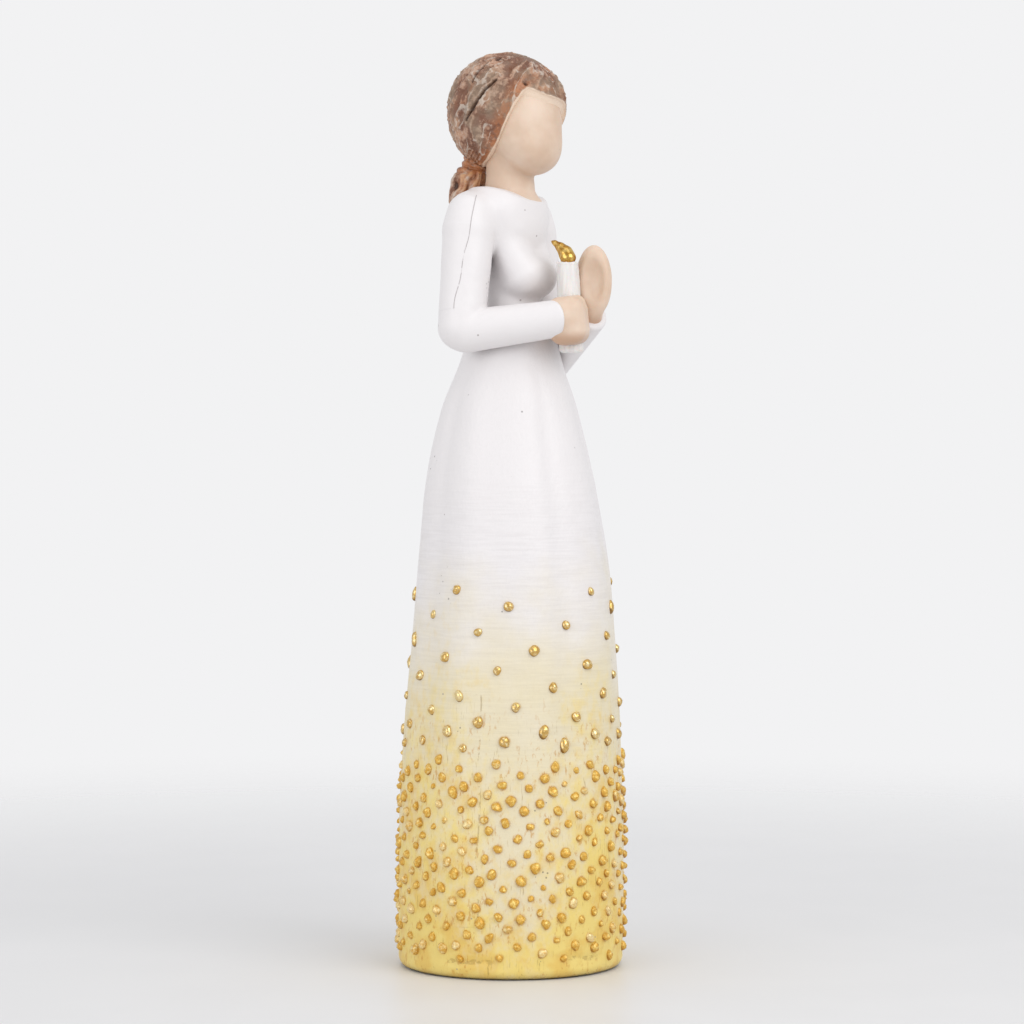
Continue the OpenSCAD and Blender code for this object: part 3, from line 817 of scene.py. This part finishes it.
def make_domes(name, node, middles, radii, heights, stretch, crumple, material):
    """One irregular dome at each dot, standing on the skirt."""
    count = len(middles)
    chance = np.random.default_rng(len(middles))
    turn, height = turn_and_height(middles)
    at = skirt_surface(turn, height)
    nudge = 0.4
    up = skirt_surface(turn, height + nudge) - skirt_surface(turn, height - nudge)
    up /= np.linalg.norm(up, axis=1, keepdims=True)
    across = skirt_surface(turn + nudge, height) - skirt_surface(turn - nudge, height)
    across /= np.linalg.norm(across, axis=1, keepdims=True)
    out = np.cross(across, up)

    angle = np.linspace(0, 2 * math.pi, DOME_SIDES, endpoint=False)
    wave = sum(
        crumple / k * chance.uniform(0.4, 1.6, (count, 1))
        * np.cos(k * angle + chance.uniform(0, 6.3, (count, 1)))
        for k in (2, 3, 4)
    )
    twist = chance.uniform(-0.7, 0.7, (count, 1))
    lean = chance.uniform(-0.22, 0.22, (count, 2))
    lean[:, 1] -= 0.12
    rows = []
    for rise in DOME_RISES:
        wide = math.cos(max(rise, 0)) ** 0.85
        rim = radii[:, None] * wide * (1 + wave * (1 - 0.4 * rise))
        share = math.sin(rise) if rise > 0 else rise
        a, b = rim * np.cos(angle), rim * np.sin(angle) * stretch[:, None]
        x = a * np.cos(twist) - b * np.sin(twist) + radii[:, None] * lean[:, :1] * max(share, 0) ** 2
        y = a * np.sin(twist) + b * np.cos(twist) + radii[:, None] * lean[:, 1:] * max(share, 0) ** 2
        z = heights[:, None] * share * (1 + 0.5 * wave) * np.ones_like(x)
        rows.append(np.stack([x, y, z], -1))
    local = np.stack(rows, axis=1)
    tip = np.stack([radii * lean[:, 0], radii * lean[:, 1], heights * 1.02], -1)[:, None, None, :]
    local = np.concatenate([local.reshape(count, -1, 3), tip.reshape(count, 1, 3)], axis=1)
    verts = at[:, None] + (
        local[..., :1] * across[:, None] + local[..., 1:2] * up[:, None] + local[..., 2:] * out[:, None]
    )
    per_dot = local.shape[1]
    index = np.arange(len(DOME_RISES) * DOME_SIDES).reshape(-1, DOME_SIDES)
    after = np.roll(index, -1, axis=1)
    quads = np.stack([index[:-1], after[:-1], after[1:], index[1:]], axis=-1).reshape(-1, 4)
    peak = per_dot - 1
    fans = [[int(a), int(b), peak] for a, b in zip(index[-1], after[-1])]
    pattern = quads.tolist() + fans + [index[0, ::-1].tolist()]
    faces = [[v + per_dot * k for v in face] for k in range(count) for face in pattern]
    verts = verts.reshape(-1, 3)
    verts = raised(verts, np.repeat(out, per_dot, axis=0), crumple * noise(verts, 0.6, 41))
    # Share of painted shade on each dome, growing towards its lower side and its foot
    lower = -(local[..., 1] + 0.5 * local[..., 0]) / radii[:, None]
    down = lower - 1.1 * local[..., 2] / heights[:, None]
    masks = {"tone": np.repeat(chance.random(count), per_dot), "lower_side_shade": down.reshape(-1)}
    return make_piece(name, verts, faces, material, [node], masks)


def make_dots():
    """The painted hem dots and the loose metallic ones. Gives their middles and radii for the skirt."""
    chance = np.random.default_rng(SEED)
    hem = dot_middles("hem_dots")
    hem_r = chance.uniform(0.85, 1.22, len(hem))
    small = chance.random(len(hem)) < 0.14
    hem_r[small] *= 0.75
    make_domes(
        "hem_gold_dots", "hem_dots", hem, hem_r,
        heights=hem_r * chance.uniform(0.78, 1.0, len(hem)),
        stretch=chance.uniform(0.84, 1.26, len(hem)),
        crumple=0.2,
        material=dot_look("hem_dot_gold", DOT_GOLD, DOT_LIGHT, DOT_SHADE, metallic=0.3, rough=0.24),
    )
    loose = dot_middles("skirt_studs")
    loose_r = chance.uniform(0.9, 1.3, len(loose))
    stretch = np.where(chance.random(len(loose)) < 0.3, chance.uniform(1.3, 1.8, len(loose)), 1.05)
    make_domes(
        "loose_gold_dots", "skirt_studs", loose, loose_r,
        heights=loose_r * 0.8,
        stretch=stretch,
        crumple=0.12,
        material=dot_look("loose_dot_gold", STUD_GOLD, STUD_LIGHT, STUD_SHADE, metallic=0.85, rough=0.12),
    )
    return np.concatenate([hem, loose]), np.concatenate([hem_r, loose_r])


# ---------------- dress top and sleeves

# Torso: height over the waist, half width, half depth and middle y
TORSO = (
    (-9, 9.6, 9.6, -0.6), (-3, 10.1, 10.1, -0.6), (0, 10.45, 10.45, -0.6), (5, 7.8, 7.4, -0.5),
    (12, 6.7, 6.0, -0.4), (19, 7.8, 6.2, -0.6), (26, 10.4, 7.0, -0.9), (32, 11.0, 6.8, -0.6),
    (36, 8.6, 6.3, -0.1), (41, 5.5, 5.5, 0.4),
)
# Sleeve radii at the shoulder, a little below it, above the bend, below the bend and at the cuff
NEAR_SLEEVE = (4.8, 5.95, 5.5, 5.0, 4.25)
FAR_SLEEVE = (4.8, 5.7, 5.2, 4.9, 4.1)


def sleeve(p, shoulder, elbow, cuff, sizes, slant):
    """An upper arm and a forearm, crisp inside the elbow, its cuff longer outside by this slant."""
    below = shoulder + 3.6 * unit(elbow - shoulder)
    upper = chain(p, tuple(zip((shoulder, below, elbow), sizes)), 0.8)
    start = elbow + 1.2 * unit(cuff - elbow) - (0, 0, 1.1)
    reach = unit(cuff - start)
    outside = unit(np.cross((0, 0, 1), reach)) * np.sign(elbow[0])
    fore = limb(p, start, cuff + 4 * reach, *sizes[3:])
    fore = common(fore, reached(p, cuff, unit(reach - slant * outside)), 0.9)
    return joined(upper, fore, 0.5)


def dress_body(p):
    """Torso and sleeves, before the neckline is cut."""
    x, y, z = p
    torso = column((x, y, z - WAIST[2]), TORSO)
    torso = common(torso, WAIST[2] - 7 - z, 0.3)
    for side in (-1, 1):
        outer = WAIST + (side * 6.3, -0.8, 23.2)
        inner = WAIST + (side * 2.5, -4.6, 14.9)
        torso = joined(torso, limb(p, outer, inner, 3.2, 5.5), 1.8)
    collar = np.array([0, 2.0, WAIST[2] + 35.3])
    for shoulder in (R_SHOULDER, L_SHOULDER):
        torso = joined(torso, limb(p, collar, shoulder, 4.3, 4.9), 3.0)
    arms = np.minimum(
        sleeve(p, R_SHOULDER, R_ELBOW, R_CUFF - 1.0 * unit(R_CUFF - R_ELBOW), NEAR_SLEEVE, 0.6),
        sleeve(p, L_SHOULDER, L_ELBOW, L_CUFF + 1.4 * unit(L_CUFF - L_ELBOW), FAR_SLEEVE, 0.0),
    )
    soft = 0.6 + 1.6 * ramp(z, WAIST[2] + 16, WAIST[2] + 27)
    return joined(torso, arms, soft)


def dress_field(p):
    x, y, z = p
    scoop = WAIST[2] + 34.9 - 0.04 * np.clip(1 - y, 0, 9) ** 2 - 0.06 * x
    return common(dress_body(p), z - scoop, 0.5)


def seam_gap(verts):
    """Signed distance to the casting seam down the outside of each arm."""
    gap = np.full(len(verts), NO_LINE)
    for side, shoulder, elbow in ((-1, R_SHOULDER, R_ELBOW), (1, L_SHOULDER, L_ELBOW)):
        way = unit(elbow - shoulder)
        rel = verts - shoulder
        along = rel @ way
        faced = np.array([side * 0.83, -0.56, 0])
        front = unit(np.cross(way, faced)) * side
        wander = 0.45 * noise(np.stack([along, 0 * along, 0 * along], -1), 5, 71) + 0.11 * along - 0.7
        reach = np.linalg.norm(elbow - shoulder)
        here = (rel @ faced > 1.5) & (along > -4) & (along < reach - 3)
        gap = np.where(here, rel @ front + wander, gap)
    return gap


def make_dress_top():
    names = ("bodice", "right_upper_sleeve", "right_forearm_sleeve",
             "left_upper_sleeve", "left_forearm_sleeve")
    low, high = room(names, 2.0)
    low[2] = min(low[2], L_ELBOW[2] - 8, WAIST[2] - 9)
    verts, faces, ways = cast(dress_field, (low, high), step=0.32)
    lumps = 0.10 * layered_noise(verts, 7, 2, 6) + 0.03 * layered_noise(verts, 1.8, 2, 8)
    verts = raised(verts, ways, lumps * ramp(verts[:, 2], WAIST[2] - 3, WAIST[2] + 4))
    return make_piece("dress_top", verts, faces, dress_look("top_resin", False),
                      names, {"seam": seam_gap(verts)})


# ---------------- head, neck and hands

FACE_SIZE = (10.0, 11.5, 11.5)


def head_field(p):
    skull = ball(p, SKULL + (0, 0.3, -0.4), FACE_SIZE)
    cheeks = ball(p, (SKULL + CHIN) / 2 + (0, -0.9, -1.2), (8.2, 7.2, 9.0))
    chin = ball(p, CHIN + (0, 0.5, -0.6), (6.8, 5.1, 5.5))
    head = joined(joined(skull, cheeks, 3.5), chin, 3.0)
    neck_r = 5.6
    neck = limb(p, NECK_FOOT, NECK_TOP, neck_r, neck_r)
    flare = limb(p, NECK_FOOT - (0, 0, 0.5), NECK_FOOT + (0, 0, 4), 9.2, neck_r - 0.2)
    under_dress = 0.3
    flare = common(flare, dress_body(p) + under_dress, 0.4)
    neck = common(joined(neck, flare, 1.5), NECK_FOOT[2] - 1 - p[2], 0.3)
    return joined(head, neck, 1.2)


def make_head():
    nodes = ("head", "neck")
    verts, faces, ways = cast(head_field, room(nodes, 2), step=0.33)
    verts = raised(verts, ways, 0.05 * layered_noise(verts, 4, 2, 15))
    # Painted shade on the neck just under the chin, above the collar
    below_chin = ramp(NECK_TOP[2] - verts[:, 2], -1.5, 1.5)
    above_collar = ramp(verts[:, 2], 183, 188)
    return make_piece("head_and_neck", verts, faces, skin_look("skin_satin"),
                      nodes, {"under_shade": 0.2 * below_chin * above_collar})


def right_hand_field(p):
    reach = unit(R_CUFF - R_ELBOW)
    out = unit(np.cross((0, 0, 1), reach))
    turn = (reach, out, np.cross(reach, out))
    axis = (CANDLE_FOOT + CANDLE_TOP) / 2
    middle = np.array([*(0.5 * axis[:2] + 0.5 * R_CUFF[:2]), R_CUFF[2] - 0.2])
    fist = slab(p, middle + 0.9 * reach + 0.4 * out - (0, 0, 0.4), turn, (4.4, 6.0, 5.6), 3.2)
    wrist = limb(p, R_CUFF - reach, middle, 3.9, 4.4)
    web = middle - 2 * reach + 2.2 * out + (0, 0, 3.2)
    thumb = limb(p, web, middle + 3.0 * reach + 1.2 * out + (0, 0, 3.9), 1.7, 1.4)
    hand = joined(joined(fist, wrist, 1.5), thumb, 1.2)
    for rise in (-2.6, 0.2, 3.0):
        start = middle + 6.3 * reach - 7 * out + (0, 0, rise)
        end = middle + 6.9 * reach + 7 * out + (0, 0, rise)
        hand = common(hand, -limb(p, start, end, 0.35, 0.35), 0.8)
    return hand


def left_hand_field(p):
    lean = np.array([0.3, 0.5, 1.0])
    palm = ball(p, PALM, (3.0, 4.7, 8.5))
    hollow = ball(p, PALM - (4.2, 1.5, 0.2), (3.6, 3.3, 6.6))
    wrist = limb(p, L_CUFF - 0.5 * unit(L_CUFF - L_ELBOW), L_CUFF + 3.4 * unit(lean), 3.3, 3.2)
    return common(joined(palm, wrist, 2.4), -hollow, 1.3)


def make_hand(name, node, field, material):
    verts, faces, ways = cast(field, room([node], 3), step=0.22)
    verts = raised(verts, ways, 0.04 * layered_noise(verts, 2.5, 2, 17))
    # Painted shade along the underside of the hand
    underside = ramp(box_mm(node)[0][2] - verts[:, 2], -3.0, -0.2)
    return make_piece(name, verts, faces, material, [node], {"under_shade": underside})


# ---------------- hair

# Slits carved in the hair: start and end as turn and rise in degrees round the head, and half width
SLITS = (
    (-174, 55, 172, 27, 0.55), (-158, 27, 169, -12, 0.7), (-163, 62, -150, 58, 0.5),
    (-6, 50, 12, 20, 0.6), (-24, 24, 12, -10, 0.55), (60, 40, 75, 5, 0.6), (118, 48, 108, 12, 0.6),
    (95, 20, 98, -14, 0.5), (40, 5, 62, -22, 0.5), (142, 12, 128, -24, 0.5),
)
# Small round pits in the hair: turn and rise in degrees, and radius
PITS = ((-162, 60.5, 1.0), (-126.5, 22, 1.15))
HAIR_SIZE = (12.35, 14.05, 13.7)
# Side hairline: height over the skull's middle, and y there
HAIRLINE = (
    (-14, 8.5), (-13.0, 5.8), (-11.9, 2.9), (-10.5, 0.4), (-8.4, -2.3), (-5.8, -4.4), (-3.35, -5.9),
    (-0.4, -7.4), (1.45, -8.3), (4.3, -9.8), (9.0, -12.5),
)
# Lower edge of the fringe: x, and height there over the skull's middle
FRINGE_EDGE = (
    (-14, 7.5), (-7.4, 4.3), (-5.6, 3.45), (-4.6, 3.0), (-2.9, 2.45), (-1.1, 2.1), (1.4, 1.7),
    (4.5, 0.8), (6.0, -0.4), (7.0, -1.8), (9.0, -4.5), (13.0, -9.0),
)


def on_hair(turn, rise):
    a, b = math.radians(turn), math.radians(rise)
    way = np.array([math.cos(a) * math.cos(b), math.sin(a) * math.cos(b), math.sin(b)])
    return HAIR_MIDDLE + way * HAIR_SIZE


def hair_window(p):
    """Distance to the opening for the face: in front of the hairline and under the fringe."""
    hair_t = 1.2
    proud = ball(p, SKULL + (0, 0.3, -0.4), FACE_SIZE) - hair_t
    hairline = 0.85 * (p[1] - curve_at(HAIRLINE, p[2] - SKULL[2])[0] + 0.4 * proud)
    fringe = 0.75 * (p[2] - SKULL[2] - curve_at(FRINGE_EDGE, p[0])[0] + 1.3 * np.clip(-proud, 0, 1.6))
    return common(hairline, fringe, 0.3)


def hair_field(p):
    cap = ball(p, HAIR_MIDDLE, HAIR_SIZE)
    nape = ball(p, HAIR_MIDDLE + (0, 3.6, -7.4), (7.6, 6.4, 5.6))
    front = ball(p, SKULL, (11.5, 13.2, 12.6))
    hair = joined(joined(cap, front, 1.2), nape, 3.0)
    return common(hair, -hair_window(p), 0.5)


def tail_field(p):
    """The gathered knot and the short ponytail that falls behind the shoulder."""
    knot = ball(p, KNOT + (0, 0.2, 0.2), (3.1, 3.2, 2.8))
    stations = (
        (KNOT + (0.0, 0.4, -0.8), 2.4), (KNOT + (-0.9, 1.8, -4.0), 3.5), (KNOT + (-1.6, 2.7, -8.0), 3.1),
        (KNOT + (-2.2, 2.2, -12.5), 2.5), (KNOT + (-2.4, 0.4, -17.0), 1.2),
    )
    return chain(p, stations, 1.0, start=knot)


def strands(verts, middle, axis):
    """Patterns from -1 to 1 along meridians about an axis: locks, thin strands and pale lines."""
    axis = unit(axis)
    side = unit(np.cross(axis, (1, 0, 0)))
    rel = verts - middle
    a, b = rel @ side, rel @ np.cross(axis, side)
    turn = np.arctan2(b, a) + 0.22 * layered_noise(verts, 7, 2, 51)
    off_pole = ramp(np.hypot(a, b) / np.linalg.norm(rel, axis=1), 0.08, 0.5)
    round_r = 12
    rolled = np.stack([round_r * np.cos(turn), round_r * np.sin(turn), rel @ axis], -1)
    lock = 1 - 3.6 * np.abs(noise(rolled, (4.4, 4.4, 15), 53))
    thin = 1 - 2.6 * np.abs(noise(rolled, (1.4, 1.4, 8), 55))
    lines = 1 - 6 * np.abs(noise(rolled, (3.0, 3.0, 8), 57) + 0.1 * noise(verts, 1.3, 58))
    return np.clip(lock, -1, 1), np.clip(thin, -1, 1), np.clip(lines, -1, 1), off_pole


def slit_depth(verts, widen=1.0):
    depth = np.zeros(len(verts))
    for t0, r0, t1, r1, size in SLITS:
        a, b = on_hair(t0, r0), on_hair(t1, r1)
        for k in range(4):
            start, end = a + (b - a) * k / 4, a + (b - a) * (k + 1) / 4
            start, end = (HAIR_MIDDLE + on_shell(q) for q in (start, end))
            thick = widen * size * (0.5 + 0.5 * math.sin(math.pi * (k + 0.7) / 4.4))
            gap = limb(tuple(verts.T), start, end, 0.01, 0.01)
            depth = np.maximum(depth, ramp(-gap, -thick, -0.15 * thick))
    for turn, rise, size in PITS:
        gap = np.linalg.norm(verts - on_hair(turn, rise), axis=1) + 0.6 * noise(verts, 1.1, 89)
        depth = np.maximum(depth, ramp(-gap, -size, -0.6 * size))
    return depth


def on_shell(q):
    """Offset from the head's middle, stretched out to the hair's surface."""
    rel = q - HAIR_MIDDLE
    return rel / np.linalg.norm(rel / HAIR_SIZE)


def make_hair(material):
    low, high = box_mm("hair_cap")
    verts, faces, ways = cast(hair_field, (low - (2, 4, 2), high + 2), step=0.24)
    gap = np.minimum(hair_window(tuple(verts.T)), 5)
    outside = ramp(gap, 0.2, 0.9)
    lock, thin, lines, off_pole = strands(verts, HAIR_MIDDLE, HAIR_MIDDLE - KNOT)
    slits = slit_depth(verts) * outside
    chips = layered_noise(verts, 2.6, 3, 81)
    curls = np.clip(1 - 5 * np.abs(layered_noise(verts + 0.8 * chips[:, None], 2.2, 2, 87)), -0.6, 1)
    lips = np.clip(slit_depth(verts, 1.9) - slits, 0, 1)
    rise = (0.50 * lock + 0.14 * thin + 0.08 * lines) * off_pole + 0.18 * chips + 0.16 * curls - 0.2
    rise = rise + 0.25 * lips
    verts = raised(verts, ways, rise * outside - 0.8 * slits)
    tone = 0.46 + (0.14 * lock + 0.22 * thin) * off_pole + 0.28 * chips + 0.16 * lips
    tone = tone - 0.24 * ramp(-gap, -8, -2.5)
    scraped = 0.8 * np.maximum(curls, 0) * ramp(chips, -0.3, 0.3)
    pale = np.clip(0.75 * np.maximum(lines, 0) * off_pole + scraped, 0, 1)
    near_edge = ramp(-gap, -4.4, -0.8)
    behind_fringe = 0.25 + 0.75 * ramp(verts[:, 1], -11.5, -9)
    copper = np.clip(0.75 * near_edge * behind_fringe + 0.35 * ramp(chips, 0.1, 0.7), 0, 1)
    rim = ramp(-gap + 0.1 * noise(verts, 1.2, 83), -0.28, -0.1)
    masks = {"tone": tone, "pale": pale, "copper": copper, "rim": rim, "slit": slits}
    return make_piece("hair_cap_and_fringe", verts, faces, material,
                      ["hair_cap", "hair_fringe"], masks)


def make_tail(material):
    nodes = ("hair_knot", "ponytail")
    verts, faces, ways = cast(tail_field, room(nodes, 3), step=0.2)
    drop = KNOT[2] - verts[:, 2]
    around = np.arctan2(verts[:, 1] - KNOT[1] - 0.2 * drop, verts[:, 0] - KNOT[0] + 0.15 * drop)
    warp = layered_noise(verts, 3, 2, 91)
    swirl = 2 * np.abs(np.sin(3 * around + 0.28 * drop + 1.1 * warp)) ** 0.7 - 1
    thin = 2 * np.abs(np.sin(9 * around + 0.5 * drop + 2 * warp)) - 1
    wraps = 2 * np.abs(np.sin(2.2 * verts[:, 2] + 0.9 * around)) - 1
    at_knot = ramp(-drop, -3.2, -1.6)
    rise = (0.42 * swirl + 0.14 * thin) * (1 - at_knot) + 0.26 * wraps * at_knot + 0.12 * warp
    verts = raised(verts, ways, rise)
    # The side of the knot towards the neck: more copper paint, and a lighter tone as a painted highlight
    inner = ramp(KNOT[1] - verts[:, 1], -3.4, -0.6)
    tone = 0.24 + (0.25 * swirl + 0.15 * thin) * (1 - at_knot) + 0.2 * warp + 0.25 * inner
    pit = np.minimum(
        np.linalg.norm((verts - KNOT - (-4.2, -1.2, -0.2)) / (1.6, 1.6, 0.9), axis=1),
        np.linalg.norm((verts - KNOT - (-4.4, 3.2, -5.4)) / (1.5, 1.0, 1.3), axis=1),
    )
    pit = ramp(-pit, -1, -0.4)
    verts = raised(verts, ways, -0.7 * pit)
    copper = np.clip(0.08 + 0.6 * at_knot + 0.6 * inner, 0, 1)
    pale = np.clip(0.8 * swirl, 0, 1) * (1 - at_knot) * (1 - inner)
    masks = {"tone": tone, "pale": pale, "copper": copper, "rim": 0 * drop, "slit": pit}
    return make_piece("knot_and_ponytail", verts, faces, material, nodes, masks)


# ---------------- candle, flame and felt pad

def lathe(rows, sides, at, wobble, cell, seed):
    """Rings through rows of (radius, height), roughened by noise."""
    angle = np.linspace(0, 2 * math.pi, sides, endpoint=False)
    rings = np.array([
        np.stack([at[0] + r * np.cos(angle), at[1] + r * np.sin(angle), at[2] + z + 0 * angle], -1)
        for r, z in rows
    ])
    verts, quads, caps = rings_mesh(rings)
    bumps = wobble * layered_noise(verts, cell, 3, seed)
    return raised(verts, outward_ways(verts, quads), bumps), quads.tolist() + caps


def make_candle():
    tall = CANDLE_TOP[2] - CANDLE_FOOT[2]
    r = CANDLE_R
    top_r = r - 0.5
    sides = [(r + (top_r - r) * t ** 2, 0.5 + (tall - 1.1) * t) for t in np.linspace(0, 1, 60)]
    rows = [(0.4, 0.0), (r - 1, 0.0), (r - 0.35, 0.12)] + sides
    rows += [(top_r + 0.08, tall - 0.3), (top_r - 0.2, tall), (top_r - 0.8, tall - 0.1)]
    rows += [(0.9, tall - 0.35), (0.2, tall - 0.4)]
    verts, faces = lathe(rows, 72, CANDLE_FOOT, 0.16, (0.9, 0.9, 5.0), 21)
    verts = verts + np.outer(1 - (verts[:, 2] - CANDLE_FOOT[2]) / tall, (0.5, -0.8, 0))
    look = candle_look("candle_paint")
    return make_piece("candle_body", verts, faces, look, ["candle"])


def flame_field(p):
    foot = CANDLE_TOP
    stations = (
        (foot + (0, 0, -0.3), 1.1), (foot + (0, -0.1, 1.0), 1.7), (foot + (0, 0.6, 2.3), 1.55),
        (foot + (-0.2, 1.9, 3.6), 1.0), (foot + (-0.4, 3.3, 4.6), 0.5), (foot + (-0.5, 4.1, 5.0), 0.2),
    )
    groove = limb(p, foot + (-1.9, 1.4, 1.6), foot + (-1.4, 3.4, 4.4), 0.55, 0.3)
    return common(chain(p, stations, 0.8), -groove, 0.5)


def make_flame():
    verts, faces, _ = cast(flame_field, room(["flame"], 1), step=0.12)
    return make_piece("flame_leaf", verts, faces, flame_look("flame_gold"), ["flame"])


def make_pad():
    r, _, thick = box_mm("base_pad")[1]
    rows = [(1, 0), (r * 0.4, 0), (r * 0.7, 0), (r * 0.9, 0), (r - 0.4, 0), (r - 0.1, 0.12), (r, 0.35)]
    rows += [(r, thick - 0.3), (r - 0.2, thick - 0.05), (r * 0.6, thick), (1, thick)]
    verts, faces = lathe(rows, 120, (0, 0, 0), 0.04, 1.5, 23)
    verts[:, 2] = np.maximum(verts[:, 2], 0)
    return make_piece("felt_pad", verts, faces, felt_look("felt_fibre"), ["base_pad"])


# ---------------- stage

# Turn in degrees, distances and heights in metres, lens and sensor in millimetres
VIEW_TURN = -55
VIEW_DISTANCE = 0.8
CAMERA_HEIGHT = 0.125
AIM_HEIGHT = 0.1071
AIM_RIGHT = 0.0005
LENS = 119
SENSOR = 36
WORLD_LIGHT = 0.80
WORLD_TINT = (0.97, 0.98, 1.0)
STUDIO_WHITE = srgb(242, 242, 243)
FLOOR_DARK = srgb(226, 225, 225)
FLOOR_LIGHT = srgb(228, 227, 227)
FLOOR_HALF = 3.0


def make_camera():
    data = bpy.data.cameras.new("camera")
    data.lens, data.sensor_width = LENS, SENSOR
    data.clip_start, data.clip_end = 0.01, 20
    camera = bpy.data.objects.new("camera", data)
    turn = math.radians(VIEW_TURN)
    aim = Vector((AIM_RIGHT * math.cos(turn), AIM_RIGHT * math.sin(turn), AIM_HEIGHT))
    camera.location = (VIEW_DISTANCE * math.sin(turn), -VIEW_DISTANCE * math.cos(turn), CAMERA_HEIGHT)
    camera.rotation_euler = (aim - camera.location).to_track_quat("-Z", "Y").to_euler()
    bpy.context.scene.collection.objects.link(camera)
    bpy.context.scene.camera = camera


def make_light(name, turn, rise, distance, size, power):
    """A square soft light aimed at the middle of the object."""
    data = bpy.data.lights.new(name, "AREA")
    data.energy, data.size = power, size
    light = bpy.data.objects.new(name, data)
    a, b = math.radians(VIEW_TURN + turn), math.radians(rise)
    way = Vector((math.sin(a) * math.cos(b), -math.cos(a) * math.cos(b), math.sin(b)))
    light.location = Vector((0, 0, AIM_HEIGHT)) + distance * way
    light.rotation_euler = way.to_track_quat("Z", "Y").to_euler()
    bpy.context.scene.collection.objects.link(light)


def make_floor():
    """A pale floor round the object that fades into the white of the studio."""
    mesh = bpy.data.meshes.new("floor")
    corners = [(FLOOR_HALF * x, FLOOR_HALF * y, 0) for x, y in ((-1, -1), (1, -1), (1, 1), (-1, 1))]
    mesh.from_pydata(corners, [], [(0, 1, 2, 3)])
    floor = bpy.data.objects.new("floor", mesh)
    bpy.context.scene.collection.objects.link(floor)
    look = Look("floor_paper", Specular_IOR_Level=0.3)
    away = look.node("ShaderNodeVectorMath", {0: look.place}, operation="LENGTH").outputs["Value"]
    grain = look.noise(30, 2)
    look.base(look.step(grain, 0.3, 0.7), FLOOR_DARK, FLOOR_LIGHT)
    look.finish(look.step(grain, 0.3, 0.7, 0.38, 0.46))
    clear = look.node("ShaderNodeBsdfTransparent").outputs[0]
    share = look.step(away, 0.14, 0.55)
    faded = look.node("ShaderNodeMixShader", {0: share, 1: look.shader.outputs[0], 2: clear})
    look.tree.links.new(faded.outputs[0], look.tree.nodes["Material Output"].inputs["Surface"])
    mesh.materials.append(look.material)


def make_world():
    """White surroundings, a little dimmer as light than they look."""
    world = bpy.data.worlds.new("studio")
    world.use_nodes = True
    nodes, links = world.node_tree.nodes, world.node_tree.links
    light = nodes["Background"]
    light.inputs["Color"].default_value = (*WORLD_TINT, 1)
    light.inputs["Strength"].default_value = WORLD_LIGHT
    seen = nodes.new("ShaderNodeBackground")
    seen.inputs["Color"].default_value = (*STUDIO_WHITE, 1)
    mixed = nodes.new("ShaderNodeMixShader")
    links.new(nodes.new("ShaderNodeLightPath").outputs["Is Camera Ray"], mixed.inputs[0])
    links.new(light.outputs[0], mixed.inputs[1])
    links.new(seen.outputs[0], mixed.inputs[2])
    links.new(mixed.outputs[0], nodes["World Output"].inputs["Surface"])
    bpy.context.scene.world = world
    bpy.context.scene.view_settings.view_transform = "Standard"


# ---------------- build

def dress_cad_node(node, material):
    """Gives a CAD node that stays its own look."""
    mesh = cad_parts[node].data
    mesh.materials.clear()
    mesh.materials.append(material)


make_camera()
make_world()
make_floor()
make_light("key", turn=42, rise=32, distance=1.1, size=0.8, power=4.0)
make_light("fill", turn=-44, rise=10, distance=1.2, size=0.9, power=2.8)
make_light("top", turn=10, rise=80, distance=1.0, size=0.8, power=0.9)

dot_places, dot_radii = make_dots()
make_skirt(dot_places, dot_radii)
make_dress_top()
make_head()
hands_look = skin_look("hand_satin")
make_hand("right_hand_fist", "right_hand", right_hand_field, hands_look)
make_hand("left_hand_cupped", "left_hand", left_hand_field, hands_look)
hair = hair_look("hair_brushed")
make_hair(hair)
make_tail(hair)
make_candle()
make_flame()
make_pad()
steel = steel_look("pin_steel_turned")
for pin in ("waist_dowel", "neck_dowel", "right_wrist_pin", "left_wrist_pin"):
    dress_cad_node(pin, steel)
dress_cad_node("wick", wick_look("wick_cotton"))
